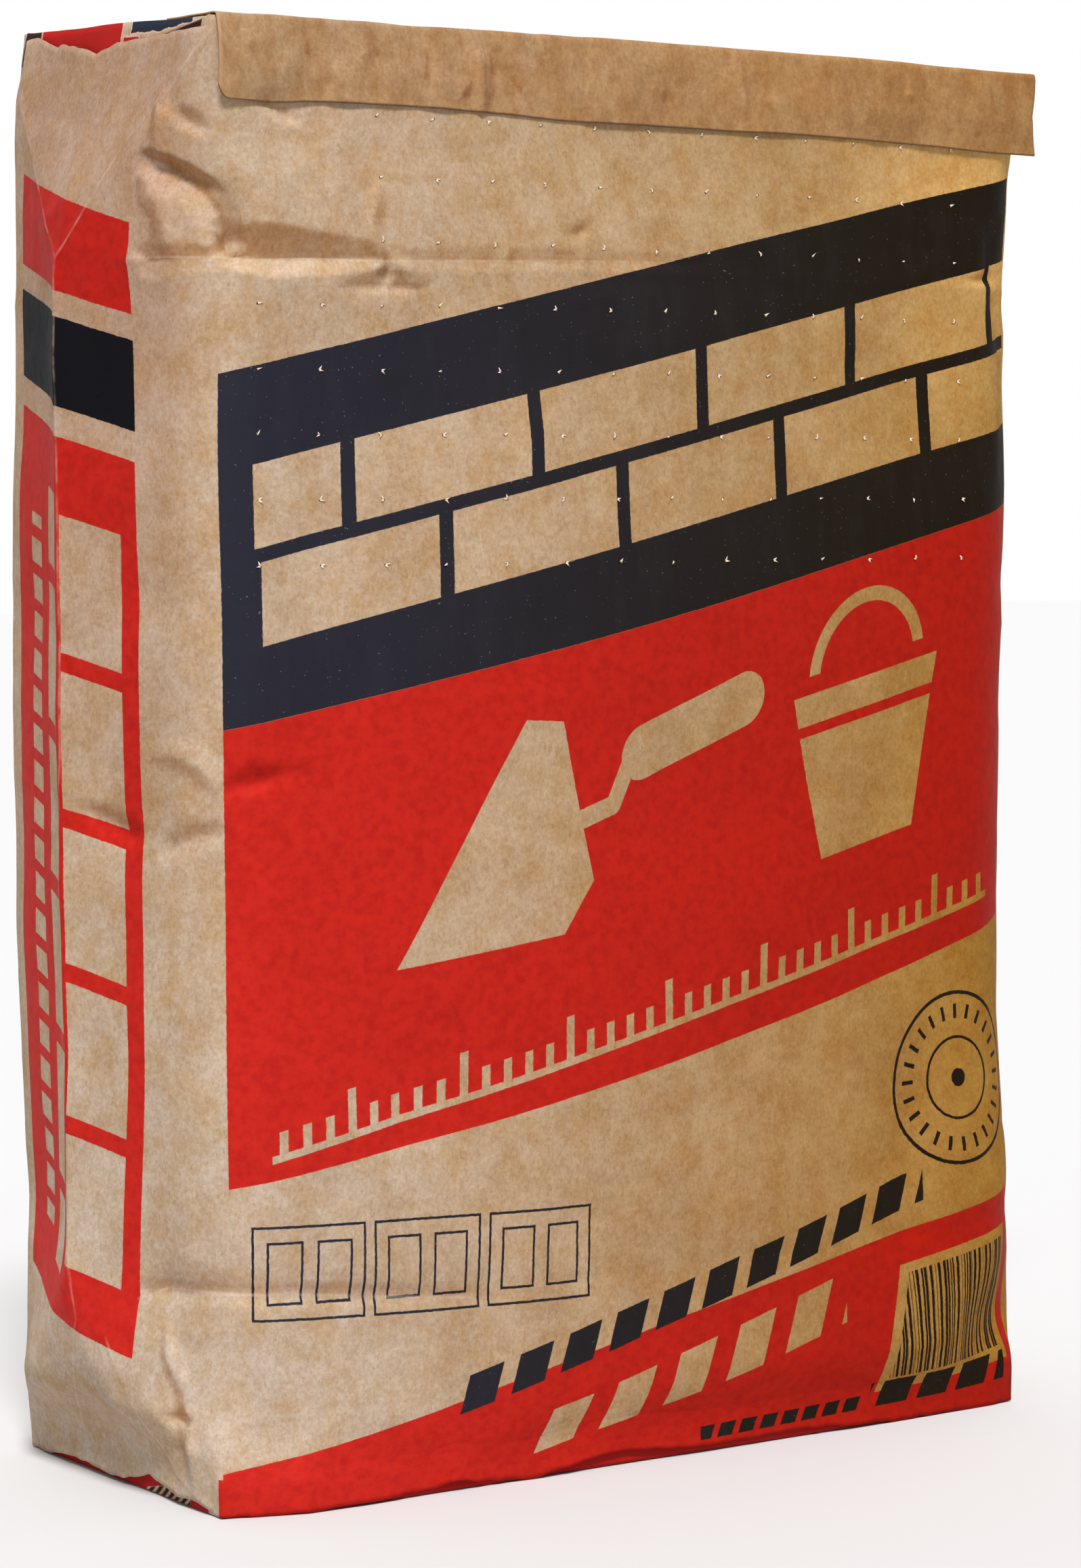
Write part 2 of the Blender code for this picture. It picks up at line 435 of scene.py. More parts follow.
def stand(x, rest):
    """Brings the foot down on its print, and pushes the back left side and the top to where they stand."""
    across = rest[:, 0] / HALF_WIDTH
    foot_x = across * FOOT_HALF_WIDTH + FOOT_SKEW * rest[:, 1] * (1 - across)
    foot_y = rest[:, 1] / HALF_DEPTH * read_table(FOOTPRINT, foot_x)
    foot = np.stack([foot_x, foot_y, rest[:, 2]], -1)
    share = smooth(1 - rest[:, 2] / FOOT_HEIGHT)[:, None]
    x = x * (1 - share) + foot * share

    height = x[:, 2]
    to_back, to_left = BACK_LEFT_RAMPS
    reach = read_table(BACK_LEFT, height) * ramp(x[:, 1], *to_back) * ramp(-x[:, 0], *to_left)
    slope = np.clip(1 - np.abs(rest[:, 1]) / HALF_DEPTH, 0, 1) * (rest[:, 0] < TINY - HALF_WIDTH)
    for axis, way, table, sign in zip((0, 1), BACK_LEFT_WAY, CREASE_OUT, (-1, 1)):
        x[:, axis] += way * reach
        x[:, axis] += sign * slope * read_table(table, height)

    back = sum(far * ramp(height, *place) for far, *place in FRONT_BACK)
    back *= smooth(1 - np.abs(x[:, 0] + 0.005) / 0.130)
    for side, far, begin, stop, beside in FRONT_CORNERS:
        back -= far * (ramp(height, *begin) - ramp(height, *stop)) * ramp(side * x[:, 0], *beside)
    x[:, 1] -= back * ramp(-x[:, 1], 0, 0.04)
    to_right, to_front = FRONT_RIGHT_RAMPS
    x[:, 0] += read_table(FRONT_RIGHT, height) * ramp(x[:, 0], *to_right) * ramp(-x[:, 1], *to_front)

    upper = ramp(x[:, 2], *TOP_RAMP)
    x[:, 1] *= 1 - TOP_PINCH * upper
    x[:, 2] += upper * TOP_RISE * x[:, 1]
    return x


# Before the simulation: how far the ridges and the panels stand out, and the points' random shake
FIRST_RIDGE = 0.022
FIRST_SWELL = 0.006
FIRST_SHAKE = 0.0002


def first_guess(rest):
    """The unfilled box with its side ridges drawn out and its panels swollen a little."""
    x = rest.copy()
    opened = opened_share(rest[:, 2])
    on_side = np.abs(rest[:, 0]) > HALF_WIDTH - TINY
    on_face = np.abs(rest[:, 1]) > HALF_DEPTH - TINY
    out = FIRST_RIDGE * np.minimum(1 - np.abs(rest[:, 1]) / HALF_DEPTH, opened)
    x[:, 0] += np.sign(rest[:, 0]) * out * on_side
    swell = FIRST_SWELL * opened * (1 - (rest[:, 0] / HALF_WIDTH) ** 2)
    x[:, 1] += np.sign(rest[:, 1]) * swell * on_face
    return x + np.random.default_rng(5).normal(0, FIRST_SHAKE, x.shape)


def refine(x, number, fine_number):
    """Points on a grid of twice as many cells, with the new ones half way between."""
    fine_x = np.zeros((fine_number.max() + 1, 3))
    fine_grids = panels(fine_number)
    for name, grid in panels(number).items():
        p = x[grid]
        q = np.zeros((2 * p.shape[0] - 1, 2 * p.shape[1] - 1, 3))
        q[::2, ::2] = p
        q[1::2, ::2] = (p[1:] + p[:-1]) / 2
        q[:, 1::2] = (q[:, :-1:2] + q[:, 2::2]) / 2
        fine_x[fine_grids[name]] = q
    return fine_x


def fill_sack(folds):
    """The filled sack's points on its finest grid."""
    cells = CELLS
    cell = WIDTH / cells[0]
    number, rest = lattice(cells)
    x = first_guess(rest)
    for level, (steps, stiffness) in enumerate(LEVELS):
        if level:
            cells = cells * 2
            cell /= 2
            fine_number, rest = lattice(cells)
            x = refine(x, number, fine_number)
            number = fine_number
        x = settle(x, number, rest, cell, steps, stiffness, folds)
    return number, rest, stand(x, rest)


# Noise

def lumps(points, size, seed):
    """Smooth random values from -1 to 1 that change over about one size."""
    table = np.random.default_rng(seed).uniform(-1, 1, (64, 64, 64))
    place = np.asarray(points) / size + 20
    base = np.floor(place).astype(int)
    share = smooth(place - base)
    value = 0
    for corner in np.ndindex(2, 2, 2):
        weight = np.prod(np.where(corner, share, 1 - share), axis=-1)
        index = (base + corner) % 64
        value = value + weight * table[index[..., 0], index[..., 1], index[..., 2]]
    return value


def ripple(size, seed, x, y=0, z=0):
    """The same at places given as separate coordinates."""
    return lumps(np.stack(np.broadcast_arrays(x, y, z), -1), size, seed)


# Wrinkles pressed into the filled sack, in millimetres: how wide they are left and right of their route,
# then the route's place round the tube, its height, and how far it stands out there

WRINKLES = (
    (5.5, 8, ((-190, 426, 0), (-186.5, 424, -1.2), (-182.4, 422, -1.7), (-173.4, 418, -2.0), (-166.3, 413.5, -2.1),
            (-160.9, 406, -2.0), (-158.1, 399.8, -1.9))),
    (3, 3, ((-158.1, 399.8, -0.8), (-162, 395.8, -0.7), (-165.6, 393.6, -0.2))),
    (5, 6, ((-192, 396, 0), (-186, 394, -0.9), (-184.5, 392, -1.0), (-175.4, 392.8, -0.9), (-163.3, 393, -0.7),
            (-157, 393, -0.3))),
    (11, 6, ((-161, 399, -1.6), (-157, 394.4, -2.8), (-145, 393.2, -3.2), (-127, 393.1, -2.3), (-112, 393.5, -1.1),
             (-103, 393.6, 0))),
    (6, 5, ((-224, 222.5, 0), (-212, 219, -1.2), (-201, 214.6, -1.4), (-192, 213, 0))),
    (6, 6, ((-190, 239, 0), (-180, 241, 0.8), (-170, 238, 1.0), (-164.5, 232, 0.7), (-162, 225, 0))),
    (5, 6, ((-187, 208, 0), (-182.3, 211, -0.9), (-172, 215, -1.0), (-164.5, 216.6, -0.7), (-159, 217, 0))),
    (7, 4, ((-163.5, 226, 0), (-159.5, 230, -0.8), (-151.2, 231.1, -1.5), (-141.3, 233.4, -0.6), (-132, 234, 0))),
    (4, 3.5, ((-108, 393.6, -0.3), (-87, 393.9, -0.5), (-55.6, 394.8, -0.5), (4, 396.3, -0.4), (25, 396.5, 0))),
    (6, 6, ((-184.8, 422.6, 0.3), (-185.4, 418, 0.9), (-183.8, 413, 1.0), (-179.9, 408.3, 0.9), (-178.2, 402.7, 0.9),
            (-176.5, 397.5, 0.8), (-174.2, 393.2, 0.3))),
    (5, 5, ((-105.7, 420, 0), (-107.9, 413.6, 0.6), (-111, 405, 0.8), (-110.3, 400.8, 0.8), (-106.6, 393.5, 0.3))),
    (3, 4, ((-103.6, 393.4, -0.6), (-104.6, 388.3, -1.1), (-105.3, 384, 0))),
    (4, 4, ((-102, 393.5, 0.6), (-97.4, 390.6, 0.9), (-95, 386.4, 0.9), (-97.8, 380.8, 0))),
    (6, 3, ((-124, 384, 0), (-107.5, 385.3, -0.9), (-96, 384.9, -0.9), (-88, 385.5, 0))),
    (8, 4, ((-153, 444, 0), (-143, 441.6, -1.3), (-137.9, 438.9, -1.3), (-132, 436.5, 0))),
    (3, 3, ((-60.5, 402, 0), (-60.2, 396, 0.7), (-61.4, 388, 0))),
    (4, 3, ((-22, 411, 0), (-28, 405.5, -0.8), (-35, 403, 0))),
    (4, 4, ((-29.5, 404, 0), (-28.9, 396, 0.7), (-32.4, 388, 0))),
    (5, 5, ((-186.5, 449, 0), (-185.3, 445.7, 0.6), (-181.2, 434.9, 1.0), (-181.6, 425.6, 0.7))),
    (5, 4, ((-181, 443, 0), (-172, 436.7, -1.0), (-166.9, 434.4, -0.8), (-162, 432.5, 0))),
    (6, 4, ((-200, 66.5, 0), (-194, 70, -0.7), (-187, 71.7, -0.9), (-178.4, 71.5, -0.9), (-167.4, 72.9, -0.9),
            (-143.6, 72, -0.8), (-115, 69.9, -0.6), (-75, 66.8, -0.3), (-60, 66, 0))),
    (5, 4, ((-184.6, 63, 0), (-184.4, 59.8, 0.4), (-182.2, 50, 0.8), (-178.5, 43.4, 0.9), (-176.5, 36.5, 0.8),
            (-174.2, 29.6, 0.4))),
    (3, 3, ((-172.5, 29.2, 0), (-174.2, 29.6, -0.6), (-179.4, 30.9, -1.0), (-187, 31.5, 0))),
    (4, 4, ((-174.2, 29.6, 0.3), (-176.2, 18.4, 0.8), (-177.3, 7, 0.4))),
    (4, 5, ((-177, 42, 0), (-178, 38.8, -0.4), (-179.7, 27.5, -1.0), (-182.4, 17.5, -1.0), (-183, 9, -0.3))),
    (6, 4, ((160, 424, 0), (153.1, 415, -0.7), (149.5, 404, -1.1), (151.7, 396.6, -1.3), (156, 383, -1.0),
            (158.2, 366.7, -0.9), (155.7, 329, -0.5), (156, 300, 0))),
    (3, 3, ((136, 394.5, 0), (142.6, 395.1, -0.7), (151.7, 396.6, -1.0))),
)

WRINKLE_DEPTH = 1.5

# The side from which the painted light falls on the wrinkles, the key light's direction: paper turned towards it is
# painted paler, paper turned away is painted browner as shade
PAINTED_LIGHT_SIDE = np.array([-0.32, -0.51, 0.80])

# Half the breadth of the line that a crease leaves in the paper, and how strong it is: paler along ridges, where the
# paper is rubbed, and darker along valleys as painted shade
CREASE_LINE = 0.0014
LINE_WEAR = 0.22

# Random lumps of the handled paper: height, size and seed; then fine creases, and the size of the areas they fill
LUMPS = ((0.0009, 0.045, 1), (0.00035, 0.018, 2))
CREASES = (0.00022, 0.013, 3)
CREASED_AREAS = (0.06, 4)
LEVEL_FOOT = 0.02


def wrinkle_height(points, wrinkle):
    """How far a wrinkle stands out at places on the walls, and how near each is to its line.

    Its sides are straight slopes of one steepness, so it narrows where it is low.
    """
    left, right, route = wrinkle
    route = np.array(route) / 1000
    peak = np.abs(route[:, 2]).max()
    height = np.zeros(len(points))
    line = np.zeros(len(points))
    nearest = np.full(len(points), 1.0)
    for start, end in zip(route[:-1], route[1:]):
        along = (end - start)[:2]
        length = np.linalg.norm(along)
        along /= length
        away = points - start[:2]
        run = away @ along
        beside = away @ np.array([-along[1], along[0]])
        share = np.clip(run / length, 0, 1)
        far = np.hypot(run - share * length, beside)
        key = far - 1e-3 * np.abs(beside)
        high = start[2] + (end[2] - start[2]) * share
        wide = np.where(beside > 0, left, right) / 1000 * (0.3 + 0.7 * np.abs(high) / peak)
        height = np.where(key < nearest, high * np.clip(1 - far / wide, 0, 1), height)
        line = np.where(key < nearest, high / peak * np.clip(1 - far / CREASE_LINE, 0, 1), line)
        nearest = np.minimum(key, nearest)
    return height, line


def crumple(x, rest, number):
    """The sack with its wrinkles and the unevenness of handled paper, and the painted shade and wear of each point."""
    normal, _ = normals_and_volume(x, panels(number))
    height = sum(high * lumps(rest, size, seed) for high, size, seed in LUMPS)
    height += CREASES[0] * (0.4 - np.abs(lumps(rest, *CREASES[1:]))) * (1 + lumps(rest, *CREASED_AREAS))
    height *= np.minimum(rest[:, 2] / LEVEL_FOOT, 1)
    wall = (rest[:, 2] > TINY) & (rest[:, 2] < PAPER_HEIGHT - TINY)
    points = unroll(rest[wall])
    lines = np.zeros(len(x))
    for wrinkle in WRINKLES:
        high, line = wrinkle_height(points, wrinkle)
        height[wall] += WRINKLE_DEPTH * high
        lines[wall] += line
    x = x + normal * height[:, None]
    turned, _ = normals_and_volume(x, panels(number))
    # Painted shade and light: how far each point has turned towards or away from the key light, plus the wrinkles'
    # lines
    shade_and_wear = ((turned - normal) @ PAINTED_LIGHT_SIDE + LINE_WEAR * np.clip(lines, -1, 1)) * wall
    return x, shade_and_wear


class Skin:
    """The sack's surface, read at any place on the paper."""

    def __init__(self, number, rest, x):
        ring = loops(number)["z"]
        u = unroll(rest[ring[0]])[:, 0]
        order = np.argsort(u)
        self.u = u[order]
        self.v = rest[ring[:, 0], 2]
        self.walls = ring[:, order]
        self.top = number[:, :, -1]
        self.base = number[:, :, 0]
        self.across = rest[self.top[:, 0], 0]
        self.along = rest[self.top[0], 1]
        self.x = x
        self.normal, _ = normals_and_volume(x, panels(number))

    def read(self, grid, i, j, lift):
        """Places a lift off the grid's points, mixed over its cells."""
        low_i = np.clip(np.floor(i).astype(int), 0, grid.shape[0] - 2)
        low_j = np.clip(np.floor(j).astype(int), 0, grid.shape[1] - 2)
        a, b = (i - low_i)[..., None], (j - low_j)[..., None]
        mixed = []
        for table in (self.x, self.normal):
            rows = [table[grid[low_i + p, low_j]] * (1 - b) + table[grid[low_i + p, low_j + 1]] * b for p in (0, 1)]
            mixed.append(rows[0] * (1 - a) + rows[1] * a)
        normal = mixed[1] / np.linalg.norm(mixed[1], axis=-1, keepdims=True)
        return mixed[0] + normal * np.asarray(lift)[..., None]

    def wall_index(self, u, v):
        places = np.append(self.u, self.u[0] + AROUND)
        u = (np.asarray(u) - self.u[0]) % AROUND + self.u[0]
        return np.interp(v, self.v, np.arange(len(self.v))), np.interp(u, places, np.arange(len(places)))

    def wall(self, u, v, lift):
        """Places on the walls, at a way round and a height on the paper."""
        wide = np.concatenate([self.walls, self.walls[:, :1]], axis=1)
        i, j = self.wall_index(u, v)
        return self.read(wide, i, j, lift)

    def over_top(self, x, y, lift):
        """Places on the top."""
        i = np.interp(x, self.across, np.arange(len(self.across)))
        j = np.interp(y, self.along, np.arange(len(self.along)))
        return self.read(self.top, i, j, lift)


# Final grid: rows lie closer together where the sack is wrinkled. Millimetres: where each run starts, and its step

GRID_RUNS = (
    ((-163, 1.1), (-100, 2.5), (-20, 4.2), (163, 0)),
    ((-64, 1.15), (-32, 2.8), (-4, 1.33), (4, 4.0), (64, 0)),
    ((0, 1.25), (10, 1.5), (76, 4.2), (204, 2.0), (246, 4.4), (382, 1.0), (448, 2.1), (469, 0)),
)


def run_places(runs):
    """Where the rows lie, in metres."""
    places = []
    for (start, step), (end, _) in zip(runs[:-1], runs[1:]):
        count = round((end - start) / step)
        places += [start + (end - start) * i / count for i in range(count)]
    return np.array(places + [runs[-1][0]]) / 1000


def spline(places, count, closed):
    """Weights that read a row of values smoothly at places between them."""
    base = np.floor(places).astype(int)
    t = places - base
    table = np.zeros((len(places), count))
    weights = (-t + 2 * t**2 - t**3, 2 - 5 * t**2 + 3 * t**3, t + 4 * t**2 - 3 * t**3, t**3 - t**2)
    for offset, weight in enumerate(weights):
        index = base + offset - 1
        index = index % count if closed else np.clip(index, 0, count - 1)
        np.add.at(table, (np.arange(len(places)), index), weight / 2)
    return table


def redraw(number, rest, x):
    """The simulated shape on its final grid."""
    places = [run_places(runs) for runs in GRID_RUNS]
    skin = Skin(number, rest, x)
    number, rest = number_places(places)
    ring = loops(number)["z"]
    i, j = skin.wall_index(unroll(rest[ring[0]])[:, 0], places[2])
    rows, columns = spline(i, len(skin.v), False), spline(j, len(skin.u), True)
    drawn = np.zeros(rest.shape)
    drawn[ring] = np.einsum("ij,jkc,lk->ilc", rows, x[skin.walls], columns, optimize=True)
    across, along = [
        spline(np.interp(inner[1:-1], old, np.arange(len(old))), len(old), False)
        for inner, old in ((places[0], skin.across), (places[1], skin.along))
    ]
    for level, end in ((-1, skin.top), (0, skin.base)):
        drawn[number[1:-1, 1:-1, level]] = np.einsum("ij,jkc,lk->ilc", across, x[end], along, optimize=True)
    return number, rest, drawn


# Meshes

def panel_uv(name, rest, grid):
    """Paper coordinates of one panel's points. The end panels carry on from the front."""
    p = rest[grid]
    x, y, z = p[..., 0], p[..., 1], p[..., 2]
    places = {
        "front": (x, z),
        "left": (-HALF_WIDTH - (y + HALF_DEPTH), z),
        "right": (HALF_WIDTH + (y + HALF_DEPTH), z),
        "back": (WIDTH + DEPTH - x, z),
        "top": (x, PAPER_HEIGHT + (y + HALF_DEPTH)),
        "base": (x, -(y + HALF_DEPTH)),
    }
    return np.stack(places[name], -1)


def make_piece(name, points, faces, uvs, material):
    """A mesh with paper coordinates at its face corners, riding on the sack's body."""
    mesh = bpy.data.meshes.new(name)
    mesh.from_pydata(np.asarray(points).reshape(-1, 3).tolist(), [], [list(face) for face in faces])
    layer = mesh.uv_layers.new(name="paper")
    layer.data.foreach_set("uv", np.asarray(uvs).ravel())
    mesh.materials.append(material)
    mesh.shade_smooth()
    piece = add_object(name, mesh)
    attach(piece, "root")
    return piece


def set_shade_and_wear(piece, shade_and_wear):
    """Gives a piece the painted shade and wear of its points, for its material to read."""
    layer = piece.data.attributes.new("shade_and_wear", "FLOAT", "POINT")
    layer.data.foreach_set("value", np.asarray(shade_and_wear, np.float32).ravel())


def make_sack(number, rest, x, material):
    faces = []
    uvs = []
    for name, grid in panels(number).items():
        faces.append(quads(grid).reshape(-1, 4))
        uvs.append(quads(panel_uv(name, rest, grid), axis=-2).reshape(-1, 2))
    return make_piece("sack_paper", x, np.concatenate(faces), np.concatenate(uvs), material)


def make_sheet(name, places, uv, material, thickness):
    """A thin sheet of paper over a grid of places, closed all round."""
    rows, columns = places.shape[:2]
    number = np.arange(rows * columns).reshape(rows, columns)
    faces = quads(number)[..., [0, 3, 2, 1]].reshape(-1, 4)
    piece = make_piece(name, places, faces, uv.reshape(-1, 2)[faces.ravel()], material)
    thick = piece.modifiers.new("thickness", "SOLIDIFY")
    thick.thickness = thickness
    thick.offset = 1.0
    return piece


def grid(columns, rows):
    """Two evenly stepped tables from 0 to 1, along a sheet and up it."""
    return np.meshgrid(np.linspace(0, 1, columns), np.linspace(0, 1, rows))


# Edges of the outer ply beside the end patches

# A hem's places round the tube are read two turns further on, so that its material doesn't show the patches there
UPPER_LAYER = 2 * AROUND
HEM_DEPTH = (0.030, 0.020)
HEM_THICKNESS = 0.00035
HEM_STEP = 0.0007
HEM_ROWS = 15
HEM_ENDS = 0.010
HEM_SINK = 0.0009

# In millimetres of paper: place round, height, lift off the patch
SIDE_TOP_HEM = (
    (-291, 466.5, 0.2), (-287, 466.4, 0.3), (-277.3, 467.0, 0.6), (-268.5, 464.8, 0.8), (-261, 463.1, 1.1),
    (-259, 463.9, 1.2), (-245.7, 462.3, 2.3), (-237, 461.0, 1.9), (-231.4, 459.6, 1.0), (-225.2, 461.0, 0.5),
    (-219.8, 462.5, 0.4), (-208.8, 463.2, 0.6), (-197.1, 463.5, 0.8), (-192.8, 463.8, 1.1), (-175.9, 464.4, 2.2),
    (-167.3, 465.5, 1.0), (-162, 467.5, 0.3),
)
SIDE_BASE_HEM = (
    (-291, 0.2, 0.1), (-284, 0.2, 0.3), (-276.2, 0.7, 0.8), (-265.6, 2.4, 1.8), (-259.5, 2.8, 2.0),
    (-253.4, 2.6, 1.8), (-247.3, 2.6, 2.0), (-240.9, 2.0, 1.8), (-234, 1.4, 1.6), (-224.3, 1.6, 1.6),
    (-214.6, 3.8, 1.2), (-207.4, 6.0, 0.8), (-202.7, 4.9, 1.0), (-196.5, 4.1, 1.4), (-190.7, 3.0, 1.6),
    (-185.8, 2.4, 1.5), (-176.5, 3.1, 1.2), (-171.7, 2.1, 0.8), (-166, 0.3, 0.3), (-163, 0.1, 0.1),
)
FRONT_BASE_HEM = (
    (-163, 0.1, 0.1), (-138, 0.1, 0.2), (-127.4, 0.5, 0.8), (-115.8, 0.9, 1.2), (-103, 1.1, 0.9), (-96.3, 1.3, 0.5),
    (-89.2, 1.6, 0.5), (-84, 2.6, 1.3), (-80, 3.0, 2.0), (-75, 1.9, 1.2), (-67.2, 1.3, 0.7), (-57.8, 0.5, 0.6),
    (-52.6, 0.4, 0.9), (-45.6, 1.0, 1.5), (-37.4, 1.9, 2.0), (-29, 3.3, 1.9), (-20.8, 4.5, 1.5), (-12.2, 4.8, 1.3),
    (-5.7, 4.1, 1.6), (6, 2.9, 1.8), (18, 2.1, 1.6), (40.5, 1.9, 1.0), (54.5, 2.6, 1.0), (70, 2.0, 1.2),
    (83, 1.2, 1.3), (97, 0.7, 1.0), (124, 0.3, 0.7), (163, 0.1, 0.1),
)


def make_hem(skin, name, border, upwards, material, side=1):
    """The outer ply where it ends beside a patch: it leaves the skin gently and stands off it at its edge."""
    place, height, lift = np.array(border).T / 1000
    along = np.arange(place[0], place[-1] + TINY, HEM_STEP)
    way_round, up = np.meshgrid(along, np.linspace(0, 1, HEM_ROWS))
    ragged = 0.00025 * ripple(0.004, 21, along, 0, side)
    edge = np.interp(along, place, height) + ragged
    root = edge + (-HEM_DEPTH[0] if upwards else HEM_DEPTH[1])
    v = root + (edge - root) * up
    ends = smooth(np.minimum(along - along[0], along[-1] - along) / HEM_ENDS)
    off = -HEM_SINK + (0.0003 + 0.0007 * smooth(up / 0.7)) * ends + np.interp(along, place, lift) * ends * up**2
    u = way_round * side
    places = skin.wall(u, v, off)
    uv = np.stack([u + UPPER_LAYER, v], -1)
    if upwards == (side < 0):
        places, uv = places[::-1], uv[::-1]
    return make_sheet(name, places, uv, material, HEM_THICKNESS)


def make_hems(skin, material):
    for side, way in ((1, "left"), (-1, "right")):
        make_hem(skin, "top_hem_" + way, SIDE_TOP_HEM, True, material, side)
        make_hem(skin, "base_hem_" + way, SIDE_BASE_HEM, False, material, side)
    make_hem(skin, "base_hem_front", FRONT_BASE_HEM, False, material)
    back = [(BACK + u, height, lift) for u, height, lift in FRONT_BASE_HEM]
    make_hem(skin, "base_hem_back", back, False, material)


# Small holes pricked through the sack to let its air out, in millimetres of paper

VENT_PITCH = 21.6
VENT_START = -149.3
VENT_COLUMNS = 14
VENT_ROWS = (440.3, 420.3, 400.0, 379.8, 359.6, 339.5, 319.3, 299.0)
VENT_SLOPE = 0.005

# Torn lips, in metres: least and most length, half breadth and height, then how deep each is sunk, and its thickness
LIP_LENGTH = (0.0011, 0.0018)
LIP_HALF_BREADTH = (0.0003, 0.0005)
LIP_HEIGHT = (0.0003, 0.0007)
LIP_SINK = 0.0002
LIP_THICKNESS = 0.00015
LIP_OUTLINE = ((0, -1), (0, 1), (1, 0.3))
LIP_FACES = ((0, 1, 2), (5, 4, 3), (3, 4, 1, 0), (4, 5, 2, 1), (5, 3, 0, 2))


def vent_places():
    """Places of the holes on the paper of the front and the back. The upper rows leave the first two columns out."""
    for panel in (0, WIDTH + DEPTH):
        for row, height in enumerate(VENT_ROWS):
            for column in range(2 if row < 3 else 0, VENT_COLUMNS):
                u = (VENT_START + VENT_PITCH * column) / 1000
                yield u + panel, height / 1000 + VENT_SLOPE * u


def make_vents(skin, material):
    """Torn lips of paper beside each hole, all in one mesh."""
    random = np.random.default_rng(17)
    points, faces, uvs = [], [], []
    for place in vent_places():
        turn = random.uniform(-0.6, 0.6) + random.choice((0, math.pi))
        for way in (0.5, -0.8)[: random.choice((1, 2))]:
            long, wide = random.uniform(*LIP_LENGTH), random.uniform(*LIP_HALF_BREADTH)
            ahead = np.array([math.cos(turn + way), math.sin(turn + way)])
            beside = np.array([-ahead[1], ahead[0]])
            flat = np.array([ahead * long * a + beside * wide * b for a, b in LIP_OUTLINE]) + place
            high = random.uniform(*LIP_HEIGHT)
            for lift in ((-LIP_SINK, -LIP_SINK, high - LIP_SINK), (LIP_THICKNESS, LIP_THICKNESS, high)):
                points.append(skin.wall(flat[:, 0], flat[:, 1], np.array(lift)))
            for face in LIP_FACES:
                faces.append([3 * len(points) - 6 + index for index in face])
                uvs += [tuple(flat[index % 3]) for index in face]
    return make_piece("vent_lips", np.concatenate(points), faces, np.array(uvs), material)


# Cover strip, in metres: how far it comes down at its left and right end, how far it lies over the top, how far its
# left end stays back and its right end runs on, its thickness, and how far out it still follows the panel
STRIP_DROP = (0.0255, 0.0280)
STRIP_TOP = 0.030
STRIP_INSET = 0.0005
STRIP_OVERHANG = 0.0060
STRIP_THICKNESS = 0.0004
STRIP_HOLD = 0.150
STRIP_CELLS = (330, 66)
STRIP_CORNER = 0.004

# Nick in its right end: depth, place down the strip and reach
NICK = (0.0022, 0.042, 0.012)

# Its unevenness: height, size, seed, how much longer it is down the strip than across, and where it is full
STRIP_DIMPLES = ((0.0004, 0.009, 13, 0.4, 0.01), (0.0006, 0.016, 14, 0.35, 0.006))

# Its wrinkles, as those of the sack
STRIP_WRINKLES = (
    (7, 2.5, ((-70.5, 470, 0.6), (-67.5, 460, 1.3), (-66.2, 450, 1.1), (-66, 440, 0.5))),
    (2, 2, ((-72.3, 470, -0.5), (-72, 464, -0.4), (-71.5, 458, 0))),
    (2.5, 2.5, ((-25, 470, -0.9), (-23.5, 464, -0.7), (-21.5, 459, 0))),
    (5, 3, ((35, 470, 0.5), (37.5, 460, 0.8), (39.5, 452, 0.4), (41, 446, 0))),
    (9, 5, ((-57, 459, 0), (-50, 451, -0.7), (-44, 443, -0.3))),
)
STRIP_WRINKLE_DEPTH = 2.0
STRIP_CREASES = 34


def strip_wrinkles():
    """The strip's wrinkles, and short random ones that run down from its fold."""
    random = np.random.default_rng(23)
    wrinkles = list(STRIP_WRINKLES)
    for _ in range(STRIP_CREASES):
        u, v = random.uniform(-158, 168), random.uniform(448, 469)
        lean, long = random.normal(0.1, 0.3), random.uniform(5, 14)
        middle = (u + lean * long / 2, v - long / 2, random.normal(0, 0.28))
        route = ((u, v, 0), middle, (u + lean * long, v - long, 0))
        wrinkles.append((random.uniform(1.8, 4), random.uniform(1.8, 4), route))
    return wrinkles


